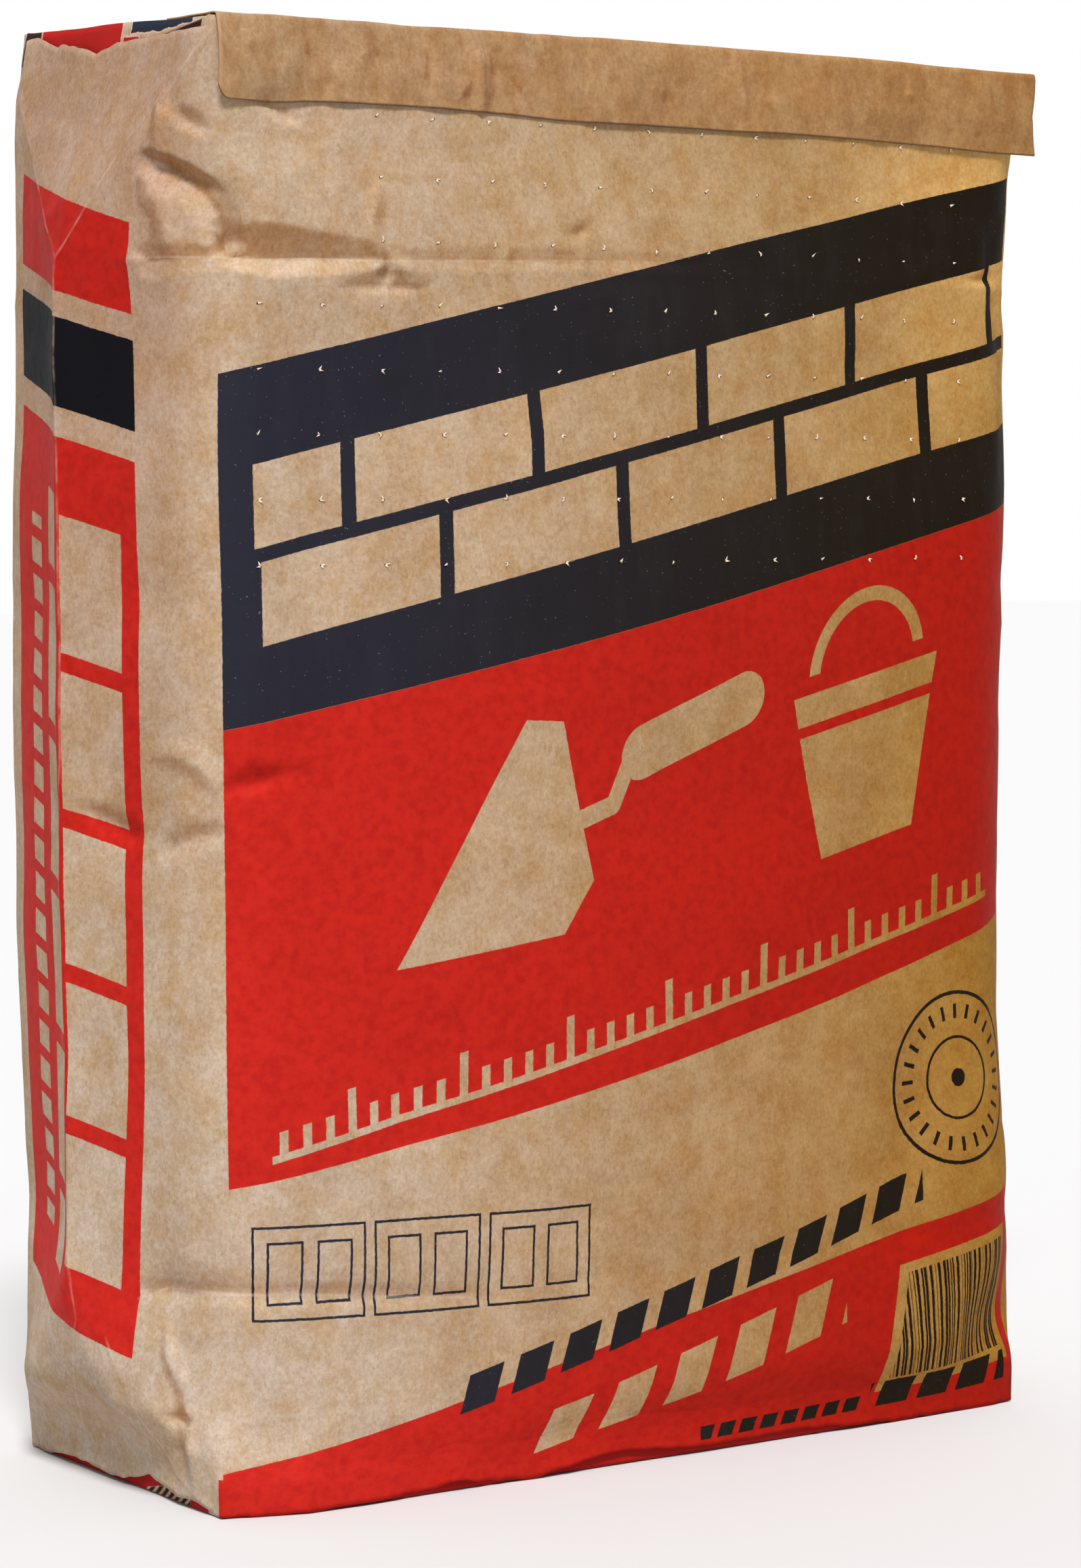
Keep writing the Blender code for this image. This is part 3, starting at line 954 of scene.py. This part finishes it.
def make_strip(skin, material):
    """Cover strip over the top front edge. It runs on straight past the right corner."""
    left, right = -HALF_WIDTH + STRIP_INSET, HALF_WIDTH + STRIP_OVERHANG
    share, down = grid(*STRIP_CELLS)
    along = left + (right - left) * share
    drop = STRIP_DROP[0] + (STRIP_DROP[1] - STRIP_DROP[0]) * share + 0.0006 * ripple(0.03, 11, along)
    round_off = STRIP_CORNER * np.clip(1 - (along - left) / STRIP_CORNER, 0, 1) ** 2
    deep, place, reach = NICK
    nick = deep * np.clip(1 - np.abs(down * 0.055 - place) / reach, 0, 1) * np.clip((share - 0.9) / 0.1, 0, 1)
    fall = down * (STRIP_TOP + drop - round_off) - STRIP_TOP
    along = along - nick
    held = np.clip(along, -STRIP_HOLD, STRIP_HOLD)
    lifted = np.clip(fall / drop, 0, 1) ** 2 * (0.0002 + 0.0002 * ripple(0.035, 12, along, fall))
    bent = sum(
        high * ripple(size, seed, along, fall * long) * np.clip(fall / full, 0, 1)
        for high, size, seed, long, full in STRIP_DIMPLES
    )
    paper_place = np.stack([along, PAPER_HEIGHT - fall], -1).reshape(-1, 2)
    high, lines = np.sum([wrinkle_height(paper_place, wrinkle) for wrinkle in strip_wrinkles()], axis=0)
    bent += STRIP_WRINKLE_DEPTH * high.reshape(fall.shape) * np.clip(fall / 0.001 + 0.3, 0, 1)
    lift = np.maximum(0.0003 + lifted + bent, 0.0002)
    front = skin.wall(held, PAPER_HEIGHT - np.maximum(fall, 0), lift)
    top = skin.over_top(held, -HALF_DEPTH + np.maximum(-fall, 0), lift)
    places = np.where((fall >= 0)[..., None], front, top)
    places[..., 0] += along - held
    uv = np.stack([along, drop - round_off - fall], -1)
    piece = make_sheet("cover_strip_paper", places[::-1], uv[::-1], material, STRIP_THICKNESS)
    # Painted shade and light of the strip's wrinkles, from their slopes towards the key light, plus their lines
    shade_and_wear = -PAINTED_LIGHT_SIDE[0] * np.gradient(bent, axis=1) / np.gradient(along, axis=1)
    shade_and_wear += PAINTED_LIGHT_SIDE[2] * np.gradient(bent, axis=0) / np.gradient(fall, axis=0)
    shade_and_wear += LINE_WEAR * np.clip(lines, -1, 1).reshape(fall.shape)
    set_shade_and_wear(piece, (shade_and_wear * (fall > 0.001))[::-1])
    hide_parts("cover_strip")
    return piece


# Loose edge of a red ply on the top, in millimetres: place across, how high its edge stands. The rest is in metres

FLAP_EDGE = ((-80, 0), (-72, 0.4), (-60, 0.3), (-45, 0.5), (-28, 0.8), (-12, 0.3), (20, 0.3), (45, 0.2), (64, 0))
FLAP_FRONT = 0.011
FLAP_BACK = 0.075
FLAP_SINK = 0.0007
FLAP_THICKNESS = 0.0003
FLAP_CELLS = (120, 30)


def make_flap(skin, material):
    """The red ply: sunk into the top at its back and its ends, and humped up behind its front edge."""
    across, high = np.array(FLAP_EDGE).T / 1000
    share, forward = grid(*FLAP_CELLS)
    x = across[0] + (across[-1] - across[0]) * share
    y = -HALF_DEPTH + FLAP_BACK + (FLAP_FRONT + 0.0012 * ripple(0.02, 51, x) - FLAP_BACK) * forward
    ends = smooth(np.minimum(share, 1 - share) / 0.08)
    hump = smooth(forward / 0.88) * smooth((1 - forward) / 0.1)
    lift = -FLAP_SINK + 0.0013 * smooth(forward / 0.35) * ends + np.interp(x, across, high) * hump * ends
    make_sheet("top_flap", skin.over_top(x, y, lift), np.stack([x, y], -1), material, FLAP_THICKNESS)


# Materials, in millimetres of paper. First the places of a front corner, a side crease and the back's middle

CORNER = 1000 * HALF_WIDTH
CREASE = 1000 * RIDGE
BACK = 1000 * (WIDTH + DEPTH)
ROUND = 1000 * AROUND


def plug(tree, socket, value):
    """Gives a node's input a value, or what another node works out."""
    if isinstance(value, Field):
        tree.links.new(value.socket, socket)
    else:
        socket.default_value = (*value, 1) if socket.type == "RGBA" else value


def add_node(tree, kind, inputs, output=0, **settings):
    """What a new node with these settings and inputs works out."""
    node = tree.nodes.new("ShaderNode" + kind)
    for name, value in settings.items():
        setattr(node, name, value)
    for name, value in inputs.items():
        plug(tree, node.inputs[name], value)
    return Field(tree, node.outputs[output])


def new_material(name):
    material = bpy.data.materials.new(name)
    material.use_nodes = True
    return material


def set_shader(material, inputs):
    """The material, with these inputs of its shader set."""
    shader = material.node_tree.nodes["Principled BSDF"]
    for name, value in inputs.items():
        plug(material.node_tree, shader.inputs[name], value)
    return material


class Field:
    """A value or colour that changes over a surface, worked out by shader nodes.

    As an area it is above zero inside, so that & is what two areas share and | is both together.
    """

    def __init__(self, tree, socket):
        self.tree = tree
        self.socket = socket

    def math(self, operation, *others):
        return add_node(self.tree, "Math", dict(enumerate((self, *others))), operation=operation)

    __add__ = partialmethod(math, "ADD")
    __sub__ = partialmethod(math, "SUBTRACT")
    __mul__ = partialmethod(math, "MULTIPLY")
    __neg__ = partialmethod(math, "MULTIPLY", -1.0)
    __abs__ = partialmethod(math, "ABSOLUTE")
    __and__ = partialmethod(math, "MINIMUM")
    __or__ = partialmethod(math, "MAXIMUM")
    __gt__ = partialmethod(math, "GREATER_THAN")

    def minus(self, other):
        """This area without the other."""
        return self & -other

    def clamp(self):
        return (self | 0.0) & 1.0

    def repeat(self, period):
        """Distance from the middle of the nearest of evenly repeated places."""
        return (self + period / 2).math("FLOORED_MODULO", period) - period / 2

    def band(self, half):
        """How far inside a band of this half breadth about zero."""
        return -abs(self) + half

    def within(self, low, high):
        """How far inside two limits."""
        return (self - low) & (-self + high)

    def mask(self, softness=0.12):
        """1 inside an area and 0 outside it."""
        return (self * (0.5 / softness) + 0.5).clamp()

    def ramp(self, low, high):
        """Runs smoothly from 0 at one value to 1 at a higher one."""
        limits = {"Value": self, "From Min": low, "From Max": high}
        return add_node(self.tree, "MapRange", limits, "Result", interpolation_type="SMOOTHSTEP")


def distance(u, v):
    return (u * u + v * v).math("SQRT")


def off_route(points, u, v):
    """Distance from a line of straight runs."""
    runs = []
    for a, b in zip(points[:-1], points[1:]):
        along = np.subtract(b, a, dtype=float)
        step = along / (along @ along)
        du, dv = u - a[0], v - a[1]
        run = (du * step[0] + dv * step[1]).clamp()
        runs.append(distance(du - run * along[0], dv - run * along[1]))
    return reduce(and_, runs)


def convex(corners, u, v):
    """How far inside a convex shape, whose corners go round against the clock."""
    edges = []
    for (x0, y0), (x1, y1) in zip(corners, corners[1:] + corners[:1]):
        length = math.hypot(x1 - x0, y1 - y0)
        nx, ny = (y1 - y0) / length, (x0 - x1) / length
        edges.append(-(u * nx + v * ny) + (nx * x0 + ny * y0))
    return reduce(and_, edges)


# How strongly the painted shade and wear tint the paper
SHADE_AND_WEAR_GAIN = 3.2


class Paper:
    """A material of paper, with places on it: round the tube and up it."""

    def __init__(self, name):
        self.material = new_material(name)
        self.tree = self.material.node_tree
        uv = add_node(self.tree, "UVMap", {}, "UV", uv_map="paper")
        scaled = add_node(self.tree, "VectorMath", {0: uv, "Scale": 1000}, operation="SCALE")
        along, self.v = [add_node(self.tree, "SeparateXYZ", {0: scaled}, axis) for axis in (0, 1)]
        self.upper = along > UPPER_LAYER * 500
        self.u = along - self.upper * (UPPER_LAYER * 1000)
        self.place = add_node(self.tree, "CombineXYZ", {0: self.u, 1: self.v})

    def noise(self, size, detail=2.0, stretch=(1, 1), seed=0.0, rough=0.5):
        """Noise about 0.5, whose lumps are so many millimetres across."""
        scale = (stretch[0] / size, stretch[1] / size, 1)
        offset = (seed, seed * 1.7, seed * 0.3)
        place = add_node(self.tree, "Mapping", {"Vector": self.place, "Scale": scale, "Location": offset})
        inputs = {"Vector": place, "Scale": 1.0, "Detail": detail, "Roughness": rough}
        return add_node(self.tree, "TexNoise", inputs, "Fac")

    def mix(self, share, first, second, kind="MIX"):
        return add_node(self.tree, "Mix", {0: share, 6: first, 7: second}, 2, data_type="RGBA", blend_type=kind)

    def tint(self, share, colour, tone):
        """The colour times a tone, as far as the share goes."""
        return self.mix(share, colour, tone, "MULTIPLY")

    def worn(self, colour):
        """The colour with painted shade, browner where the paper turns from the key light, painted light, paler where
        it turns to it, and the wrinkles' lines.
        """
        shade_and_wear = add_node(self.tree, "Attribute", {}, "Fac", attribute_name="shade_and_wear") * SHADE_AND_WEAR_GAIN
        colour = self.tint((-shade_and_wear).clamp() * 0.8, colour, (0.72, 0.51, 0.34))
        return self.tint(shade_and_wear.clamp() * 0.45, colour, (1.28, 1.26, 1.24))

    def painted_warm_light(self):
        """How much painted warm light falls on the paper: 0 at the left of the front, 1 at its right, and back again
        round the back.
        """
        return (-abs((self.u - CREASE).repeat(ROUND))).ramp(-427.0, -27.0)

    def bump(self, extra=None):
        """The paper's own texture, with any other height added to it."""
        height = self.noise(0.7, 2.0, seed=2.0) * 0.05 + self.noise(5.0, 3.0, seed=5.5, rough=0.55) * 0.22
        height = height + self.noise(16.0, 2.0, (1.0, 0.8), 6.2) * 0.5
        if extra is not None:
            height = height + extra
        return add_node(self.tree, "Bump", {"Height": height, "Distance": 0.001, "Strength": 0.8})


LIGHT_KRAFT = (0.494, 0.390, 0.296)
DARK_KRAFT = (0.336, 0.225, 0.137)
# Black ink as painted under cool light, at the left of the front, and under warm light, at its right
COOL_LIT_BLACK = (0.0165, 0.0165, 0.0270)
WARM_LIT_BLACK = (0.0120, 0.0082, 0.0050)


def kraft_base(paper, light, dark):
    """Mottled unbleached paper with short fibres."""
    cloud = paper.noise(26.0, 3.0, (1.0, 0.7), 13.7, 0.55).ramp(0.34, 0.66)
    blotch = paper.noise(5.0, 4.0, seed=3.1, rough=0.66).ramp(0.30, 0.70)
    fine = paper.noise(1.2, 3.0, (1.0, 0.8), 7.7, 0.7).ramp(0.33, 0.67)
    fibre = paper.noise(0.75, 2.0, (1.0, 0.42), 1.3, 0.5).ramp(0.58, 0.72)
    cross = paper.noise(0.8, 2.0, (0.2, 1.0), 4.4, 0.5).ramp(0.62, 0.76)
    golden = paper.noise(12.0, 5.0, (1.0, 0.8), 47.3, 0.68).ramp(0.38, 0.68)
    base = paper.mix(cloud * 0.26 + blotch * 0.30 + fine * 0.44, dark, light)
    base = paper.mix(fibre * 0.36, base, (0.26, 0.14, 0.065))
    base = paper.tint(golden * 0.75, base, (0.90, 0.76, 0.53))
    return paper.mix(cross * 0.12, base, (0.72, 0.57, 0.42))


# Printed marks. Bands rise to the right by this slope; bricks have a length, a height and a gap

BAND_SLOPE = 0.235
BRICK = (62.0, 26.0)
BRICK_GAP = 5.0


def brick_course(u, q, low, shift):
    bricks = (u - shift).repeat(BRICK[0] + BRICK_GAP).band(BRICK[0] / 2)
    return bricks & q.within(low, low + BRICK[1])


def block_row(u, v, lean, shift, pitch, half, slope, heights, ends):
    """A rising row of leaning blocks."""
    return (u - v * lean - shift).repeat(pitch).band(half) & (v - u * slope).within(*heights) & u.within(*ends)


def black_band(u, v, q):
    """Black field with two courses of bricks left bare, and the line where the red field meets it."""
    border = v - u * 0.2206 - u * u * 0.0001 - 280.7
    courses = brick_course(u, q, 308.5, -118.0) | brick_course(u, q, 339.0, -84.5)
    return ((-(v - u * 0.2332) + 395) & border).minus(courses & (u + 151.0)), border


def red_field(u, v, q, border):
    """Red field with a trowel, a bucket and a tick scale left bare."""
    red = (-border) & (v - u * 0.2174 - u * u * 0.00015 - 136.4)
    blade = convex([(-104, 196), (-42, 190), (-30, 204), (-42, 258), (-56, 262)], u, q)
    neck = -off_route([(-40, 224), (-22, 226), (-16, 238)], u, q) + 3.2
    grip = -off_route([(-10, 240), (32, 246)], u, q) + 9.0
    groove = abs(q - 228.0) - 1.8
    bucket = convex([(66, 184), (108, 184), (120, 240), (54, 240)], u, q) & groove
    handle = (distance(u - 87.0, q - 243.0) - 24.0).band(2.4) & (q - 246.0)
    ticks = u.repeat(8.0).band(1.5) & q.within(148.0, 157.0)
    ticks = ticks | (u.repeat(40.0).band(1.5) & q.within(148.0, 163.5))
    rule = (ticks | q.within(147.6, 150.0)) & u.within(-148.0, 149.0)
    for mark in (blade, neck, grip, bucket, handle, rule):
        red = red.minus(mark)
    return red


def foot_band(u, v):
    """Red band along the foot, with a bare field for the bar lines and a row of bare blocks."""
    foot = (-(v - u * 0.204 + u * u * 0.00019) + 51.9) & u.within(-164.2, 163)
    foot = foot.minus((-u - 162.4) & (v - 12.0))
    foot = foot.minus(convex([(94, 12.9), (160.2, 16.3), (153.9, 67.3), (102.5, 59.7)], u, v))
    return foot.minus(block_row(u, v, 0.32, 0.0, 23.0, 7.0, 0.27, (22.5, 39.5), (-52.0, 78.0)))


def line_marks(paper, u, v):
    """Black marks on the bare paper: outlined blocks, leaning blocks, bar lines and a dial."""
    cell = (u + 93.0).repeat(42.3)
    block = cell.band(19.2) & v.within(64.0, 93.0)
    hollow = (abs(cell) - 8.6).band(5.8) & v.within(69.0, 88.0)
    outline = (block.band(0.42) | hollow.band(0.42)) & (u.within(-156.5, -29.5) & v.within(61.0, 96.0))
    dashes = block_row(u, v, 0.3, 4.0, 17.5, 5.9, 0.262, (51.0, 62.5), (-82.0, 113.0))
    small = block_row(u, v, 0.3, 0.0, 9.0, 3.2, 0.035, (3.4, 9.2), (18.0, 88.0))
    large = block_row(u, v, 0.3, 5.0, 19.0, 7.2, 0.035, (3.4, 14.2), (92.0, 158.0))

    lines = {"W": u + v * 0.12, "Scale": 0.85, "Detail": 0.0}
    stripe = (add_node(paper.tree, "TexNoise", lines, "Fac", noise_dimensions="1D") - 0.5) * 3.0
    bars = convex([(99.5, 18.5), (156.5, 21.8), (151.2, 63.0), (106.0, 57.0)], u, v) & stripe

    away = distance(u - 131.0, v - 121.0)
    angle = (v - 121.0).math("ARCTAN2", u - 131.0)
    ring = (away - 29.4).band(0.65) | (away - 14.0).band(0.5)
    spoke = (angle.repeat(math.pi / 12) * away).band(0.75) & away.within(20.5, 25.5)
    dial = (ring | spoke | (-away + 3.2)) & u.within(-161.8, 163)
    return outline | dashes | bars | dial | small | large


def front_print(paper, u, v):
    """Black and red areas of the front and back panels."""
    q = v - u * BAND_SLOPE
    face = u.within(-161.8, 163)
    black, border = black_band(u, v, q)
    red = red_field(u, v, q, border)
    return (black & face) | line_marks(paper, u, v), (red & face) | foot_band(u, v)


def side_print(s, v):
    """Black and red areas of a gusset side, at a distance from the corner on its right."""
    q = v - (s - 33.0) * 0.24
    s = (s - (-v).ramp(-150.0, -70.0) * 4.5 - 30.0) * 0.892 + 33.0
    column = s.within(33.0, 107.0)
    red = q.within(376.3, 404.8) & column
    black = q.within(340.2, 368.3) & column
    bricks = s.within(39.5, 62.0) & (q - 40.0).repeat(49.0).band(21.5)
    halves = s.within(66.0, 76.5) & (q - 15.5).repeat(49.0).band(21.5)
    dashes = s.within(84.0, 93.0) & q.repeat(12.0).band(4.0) & q.within(70.0, 300.0)
    tall = (q.within(48.0, 330.8) & column).minus((bricks | halves) & q.within(62.0, 312.0))
    return black, red | tall.minus(dashes)


def end_patches(paper):
    """Areas of the patches and folded plies that show beyond the outer ply's edges: red, navy, dark and all. The dark
    is partly painted shadow in the gaps under the plies and partly dark stripes of print.
    """
    v = paper.v
    wobble = (paper.noise(1.2, 2.0, seed=41.0) - 0.5) * 1.2
    w = abs(paper.u.repeat(ROUND)) - CORNER
    rough = w + wobble
    high = v + wobble * 0.5
    above = w.within(3.5, 125.0) & (v - 458.0) & (-v + 469.05)
    top_red = rough.within(56.5, 113.5) | (rough.within(45.5, 54.5) & (-high + 464.3))
    saw = abs((rough - 41.9).repeat(9.0)) * 0.1
    top_navy = rough.within(13.0, 50.4) & (high - saw - 465.3 - ((-rough + 33.0) | 0.0) * 0.11)
    # Painted shadow in the open gaps under the folded plies
    painted_gap_shadow = ((-(v + (w - 12.0) * 0.165) + 467.3) & w.within(7.0, 34.0)) | (w - 114.5)

    below = (-v + 7.0) & (v + 0.05)
    side_low = below & w.within(8.0, 120.5)
    front_low = below & (-w - 7.5)
    marked = -(v - 1.0 - (-w + 49.0) * 0.2) & w.within(20.0, 49.0)
    stripes = (w * 0.8 + v).repeat(3.4).band(1.0) & marked
    low_red = ((w - 33.0) | (-w + 26.0)).minus(marked)

    red = (above & top_red) | (side_low & low_red) | front_low
    dark = (above & painted_gap_shadow) | (side_low & stripes)
    navy = above & top_navy.minus(top_red)
    return red, navy, dark, above | side_low | front_low


# Lines where folds have rubbed the paper pale

WORN = (
    ((-284, 447.6), (-261, 424), (-226.4, 393.9), (-210.6, 414.7), (-200, 428), (-182.4, 444.5), (-162.4, 466.4)),
    ((-226.4, 393.9), (-226, 240), (-234, 155), (-226, 74), (-222.7, 58), (-232.6, 35.4), (-248.8, 16.7), (-237, 0)),
    ((-209, 54), (-199, 36.7), (-188.7, 10.3), (-166, 0.3)),
    ((-198, 67.5), (-187, 71.7), (-143.6, 72), (-75, 66.8)),
    ((-190, 393.2), (-104, 393.3), (0, 396.2)),
)
BACK_FROM = 290.9


def ink_colours(paper, painted_warm_light, on_side):
    """Colours of the red and the black ink. The black is denser on the sides, bluish under painted cool light at the
    left and brownish under painted warm light at the right, with streaks of painted sheen.
    """
    red = paper.mix(paper.noise(3.0, 3.0, seed=8.0).ramp(0.3, 0.8), (0.46, 0.0150, 0.0085), (0.365, 0.0100, 0.0060))
    speck = paper.noise(0.9, 1.0, seed=12.0).ramp(0.75, 0.78)
    # Streaks of painted sheen on the black
    painted_sheen = paper.noise(9.0, 3.0, (1.0, 0.3), 15.0, 0.6).ramp(0.45, 0.75)
    black = paper.mix(painted_warm_light, COOL_LIT_BLACK, WARM_LIT_BLACK)
    black = paper.mix(painted_sheen * 0.35, black, (0.022, 0.022, 0.030))
    black = paper.mix(speck * 0.35, black, (0.25, 0.25, 0.27))
    return red, paper.mix(on_side * 0.85, black, (0.0015, 0.0015, 0.0025))


def painted_light_and_shade(paper, colour, painted_warm_light, black):
    """The printed colour under painted light and shade: painted warm light to the right, less of it low down, painted
    light at the upper right and the lower left, and painted shade round a side.
    """
    u, v = paper.u, paper.v
    # Painted warm light to the right, weaker low down
    painted_warm_tone = paper.mix(v.ramp(150.0, 430.0), (0.67, 0.432, 0.055), (0.74, 0.57, 0.21))
    colour = paper.tint(painted_warm_light, colour, painted_warm_tone)
    # Painted light at the upper right, off the black
    upper = painted_warm_light.ramp(0.70, 0.97) * v.ramp(325.0, 430.0) * (-v).ramp(-474.0, -467.0) * (-black + 1.0)
    colour = paper.tint(upper, colour, (1.53, 1.57, 1.80))
    # Painted cool light at the lower left
    painted_light_low_left = (-painted_warm_light).ramp(-0.45, -0.05) * (-v).ramp(-200.0, -60.0)
    colour = paper.tint(painted_light_low_left, colour, (1.03, 1.09, 1.19))
    # Painted shade round the sides, deepest high up
    painted_side_shade = abs(u).ramp(158.0, 185.0) & (-abs(u)).ramp(-296.0, -270.0)
    return paper.tint(painted_side_shade * v.ramp(120.0, 440.0), colour, (0.88, 0.78, 0.77))


def patched(paper, base, colour):
    """The colour with the end patches showing beside the outer ply."""
    red, navy, dark, everywhere = end_patches(paper)
    torn = -(abs(red) & abs(navy)) + 0.45
    under = paper.mix(torn.mask(0.3), base, (0.62, 0.40, 0.31))
    under = paper.mix(red.mask(), under, (0.36, 0.010, 0.008))
    under = paper.mix(navy.mask(), under, (0.016, 0.022, 0.034))
    # Painted shadow in the gaps, together with the dark printed stripes
    under = paper.mix(dark.mask(0.3), under, (0.030, 0.010, 0.006))
    return paper.mix(everywhere.mask() * (-paper.upper + 1.0), colour, under)


def vent_holes(u, v):
    """Areas of the pricked holes, which are painted dark as the shade inside them. The upper rows leave the first two
    columns out.
    """
    level = v - u * VENT_SLOPE
    row = reduce(and_, [abs(level - height) for height in VENT_ROWS])
    holes = -distance((u - VENT_START).repeat(VENT_PITCH), row) + 0.42
    return holes & u.within(VENT_START - 1.0, 135.0) & ((-level + 390.0) | (u + 117.0))


def printed_kraft():
    paper = Paper("kraft_print")
    wobble = paper.noise(1.6, 2.0, seed=9.0) - 0.5
    u = paper.u + wobble * 0.45
    v = paper.v + wobble * 0.45
    panel_u = u - (paper.u > BACK_FROM) * BACK
    black, red = front_print(paper, panel_u, v)
    side_black, side_red = side_print(-u - CORNER + (paper.u > 0.0) * BACK, v)
    black = (black | side_black).mask()
    red = (red | side_red).mask()

    base = kraft_base(paper, LIGHT_KRAFT, DARK_KRAFT)
    # Share of painted warm light, from the left of the front to its right
    painted_warm_light = paper.painted_warm_light()
    red_ink, black_ink = ink_colours(paper, painted_warm_light, side_black.mask())
    colour = paper.mix(red, base, red_ink)
    colour = paper.mix(black, colour, black_ink)
    # Painted light and shade over the print, then the painted shade and wear of the wrinkles
    colour = paper.worn(painted_light_and_shade(paper, colour, painted_warm_light, black))
    colour = patched(paper, base, colour)
    # Painted shade inside the pricked holes
    colour = paper.mix(vent_holes(panel_u, v).mask(0.2), colour, (0.02, 0.012, 0.008))

    from_left = paper.u * ((paper.u > CORNER) * -2.0 + 1.0)
    worn = reduce(and_, [off_route(points, from_left, paper.v) for points in WORN])
    patchy = paper.noise(6.0, 3.0, seed=21.0).ramp(0.35, 0.65)
    colour = paper.mix((-worn + 0.25).mask(0.5) * (patchy * 0.26 + 0.05), colour, (0.74, 0.62, 0.50))
    rough = paper.noise(9.0, 3.0, seed=30.0) * 0.16 + 0.68 - (black | red) * 0.12
    bump = paper.bump((-worn + 1.2).mask(0.9) * 0.16)
    looks = {"Base Color": colour, "Roughness": rough, "Specular IOR Level": 0.07, "Normal": bump}
    return set_shader(paper.material, looks)


def torn_kraft():
    return set_shader(new_material("torn_kraft"), {"Base Color": (0.68, 0.55, 0.42), "Roughness": 0.8})


def red_ply():
    paper = Paper("red_ply")
    share = paper.noise(3.0, 3.0, seed=8.0).ramp(0.3, 0.8)
    colour = paper.mix(share, (0.36, 0.0065, 0.0045), (0.27, 0.0045, 0.0035))
    looks = {"Base Color": colour, "Roughness": 0.55, "Specular IOR Level": 0.14, "Normal": paper.bump()}
    return set_shader(paper.material, looks)


def strip_kraft():
    """Darker glued kraft, streaked across its length. Its second coordinate is the height over its lower edge."""
    paper = Paper("strip_kraft_paper")
    base = kraft_base(paper, (0.420, 0.274, 0.156), (0.262, 0.155, 0.073))
    streak = paper.noise(5.5, 3.0, (1.0, 0.42), 61.0, 0.6).ramp(0.38, 0.66)
    base = paper.tint(streak * 0.55, base, (0.78, 0.66, 0.52))
    # Painted warm light towards the right, as on the sack
    base = paper.tint(paper.painted_warm_light() * 0.8, base, (0.92, 0.74, 0.38))
    edge = (paper.u + 161.9) & (-paper.u + 172.4)
    colour = paper.mix((-edge + 0.5).mask(0.4) * 0.3, base, (0.52, 0.33, 0.17))
    stain = -distance(paper.u + 162.5, paper.v) + 6.0
    colour = paper.worn(paper.mix(stain.mask(6.0) * 0.4, colour, (0.42, 0.20, 0.07)))
    # Painted shadow along the lower edge, where the strip stands off the sack
    colour = paper.mix((-paper.v + 0.30).mask(0.35) * 0.85, colour, (0.07, 0.028, 0.014))
    looks = {"Base Color": colour, "Roughness": 0.62, "Specular IOR Level": 0.25, "Normal": paper.bump()}
    return set_shader(paper.material, looks)


# Scene

def add_object(name, data):
    thing = bpy.data.objects.new(name, data)
    bpy.context.collection.objects.link(thing)
    return thing


def add_camera():
    camera = add_object("camera", bpy.data.cameras.new("camera"))
    camera.data.lens = CAMERA_LENS
    camera.location = CAMERA_PLACE
    camera.rotation_euler = (math.radians(90) + CAMERA_PITCH, 0, -CAMERA_YAW)
    bpy.context.scene.camera = camera


def add_sun(name, toward, width, strength, colour):
    """A distant light, so many degrees across, from one direction."""
    light = bpy.data.lights.new(name, "SUN")
    light.angle = math.radians(width)
    light.energy = strength
    light.color = colour
    lamp = add_object(name, light)
    lamp.location = toward
    tilt = math.atan2(math.hypot(toward[0], toward[1]), toward[2])
    lamp.rotation_euler = (tilt, 0, math.atan2(toward[1], toward[0]) + math.pi / 2)


# Stage: brightness of the studio in front of the sack and behind it, where it starts and stops to change along the
# view, then how pale the floor is, how far it reaches and how far it lies under the sack
WORLD_FRONT = 0.40
WORLD_BEHIND = 1.0
WORLD_TURN = (-0.2, 0.7)
FLOOR = 0.59
FLOOR_REACH = 12.0
FLOOR_DROP = 0.0005


def add_floor():
    mesh = bpy.data.meshes.new("floor")
    corners = [(x * FLOOR_REACH, y * FLOOR_REACH, 0) for x, y in ((-1, -1), (1, -1), (1, 1), (-1, 1))]
    mesh.from_pydata(corners, [], [(0, 1, 2, 3)])
    mesh.materials.append(set_shader(new_material("floor"), {"Base Color": (FLOOR, FLOOR, FLOOR), "Roughness": 0.9}))
    floor = add_object("floor", mesh)
    floor.location.z = -FLOOR_DROP


def add_world():
    world = bpy.data.worlds.new("studio")
    world.use_nodes = True
    tree = world.node_tree
    toward = add_node(tree, "TexCoord", {}, "Generated")
    view = (math.sin(CAMERA_YAW), math.cos(CAMERA_YAW), 0)
    along = add_node(tree, "VectorMath", {0: toward, 1: view}, "Value", operation="DOT_PRODUCT")
    ends = {"From Min": WORLD_TURN[0], "From Max": WORLD_TURN[1], "To Min": WORLD_FRONT, "To Max": WORLD_BEHIND}
    background = tree.nodes["Background"]
    plug(tree, background.inputs["Color"], (1, 1, 1))
    plug(tree, background.inputs["Strength"], add_node(tree, "MapRange", {"Value": along, **ends}, "Result"))
    bpy.context.scene.world = world


def main():
    add_camera()
    add_floor()
    add_world()
    add_sun("key", (-0.75, -1.2, 1.9), 14, 4.0, (1.0, 0.985, 0.99))
    number, rest, x = fill_sack(main_folds() + dent_folds())
    number, rest, x = redraw(number, rest, x)
    x, shade_and_wear = crumple(x, rest, number)
    kraft = printed_kraft()
    sack = make_sack(number, rest, x, kraft)
    # Painted shade and wear of the wrinkles, for the paper's material to read
    set_shade_and_wear(sack, shade_and_wear)
    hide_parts("paper_sack")
    skin = Skin(number, rest, x)
    make_strip(skin, strip_kraft())
    make_hems(skin, kraft)
    make_vents(skin, torn_kraft())
    make_flap(skin, red_ply())


bpy.context.scene.view_settings.view_transform = "Standard"
main()
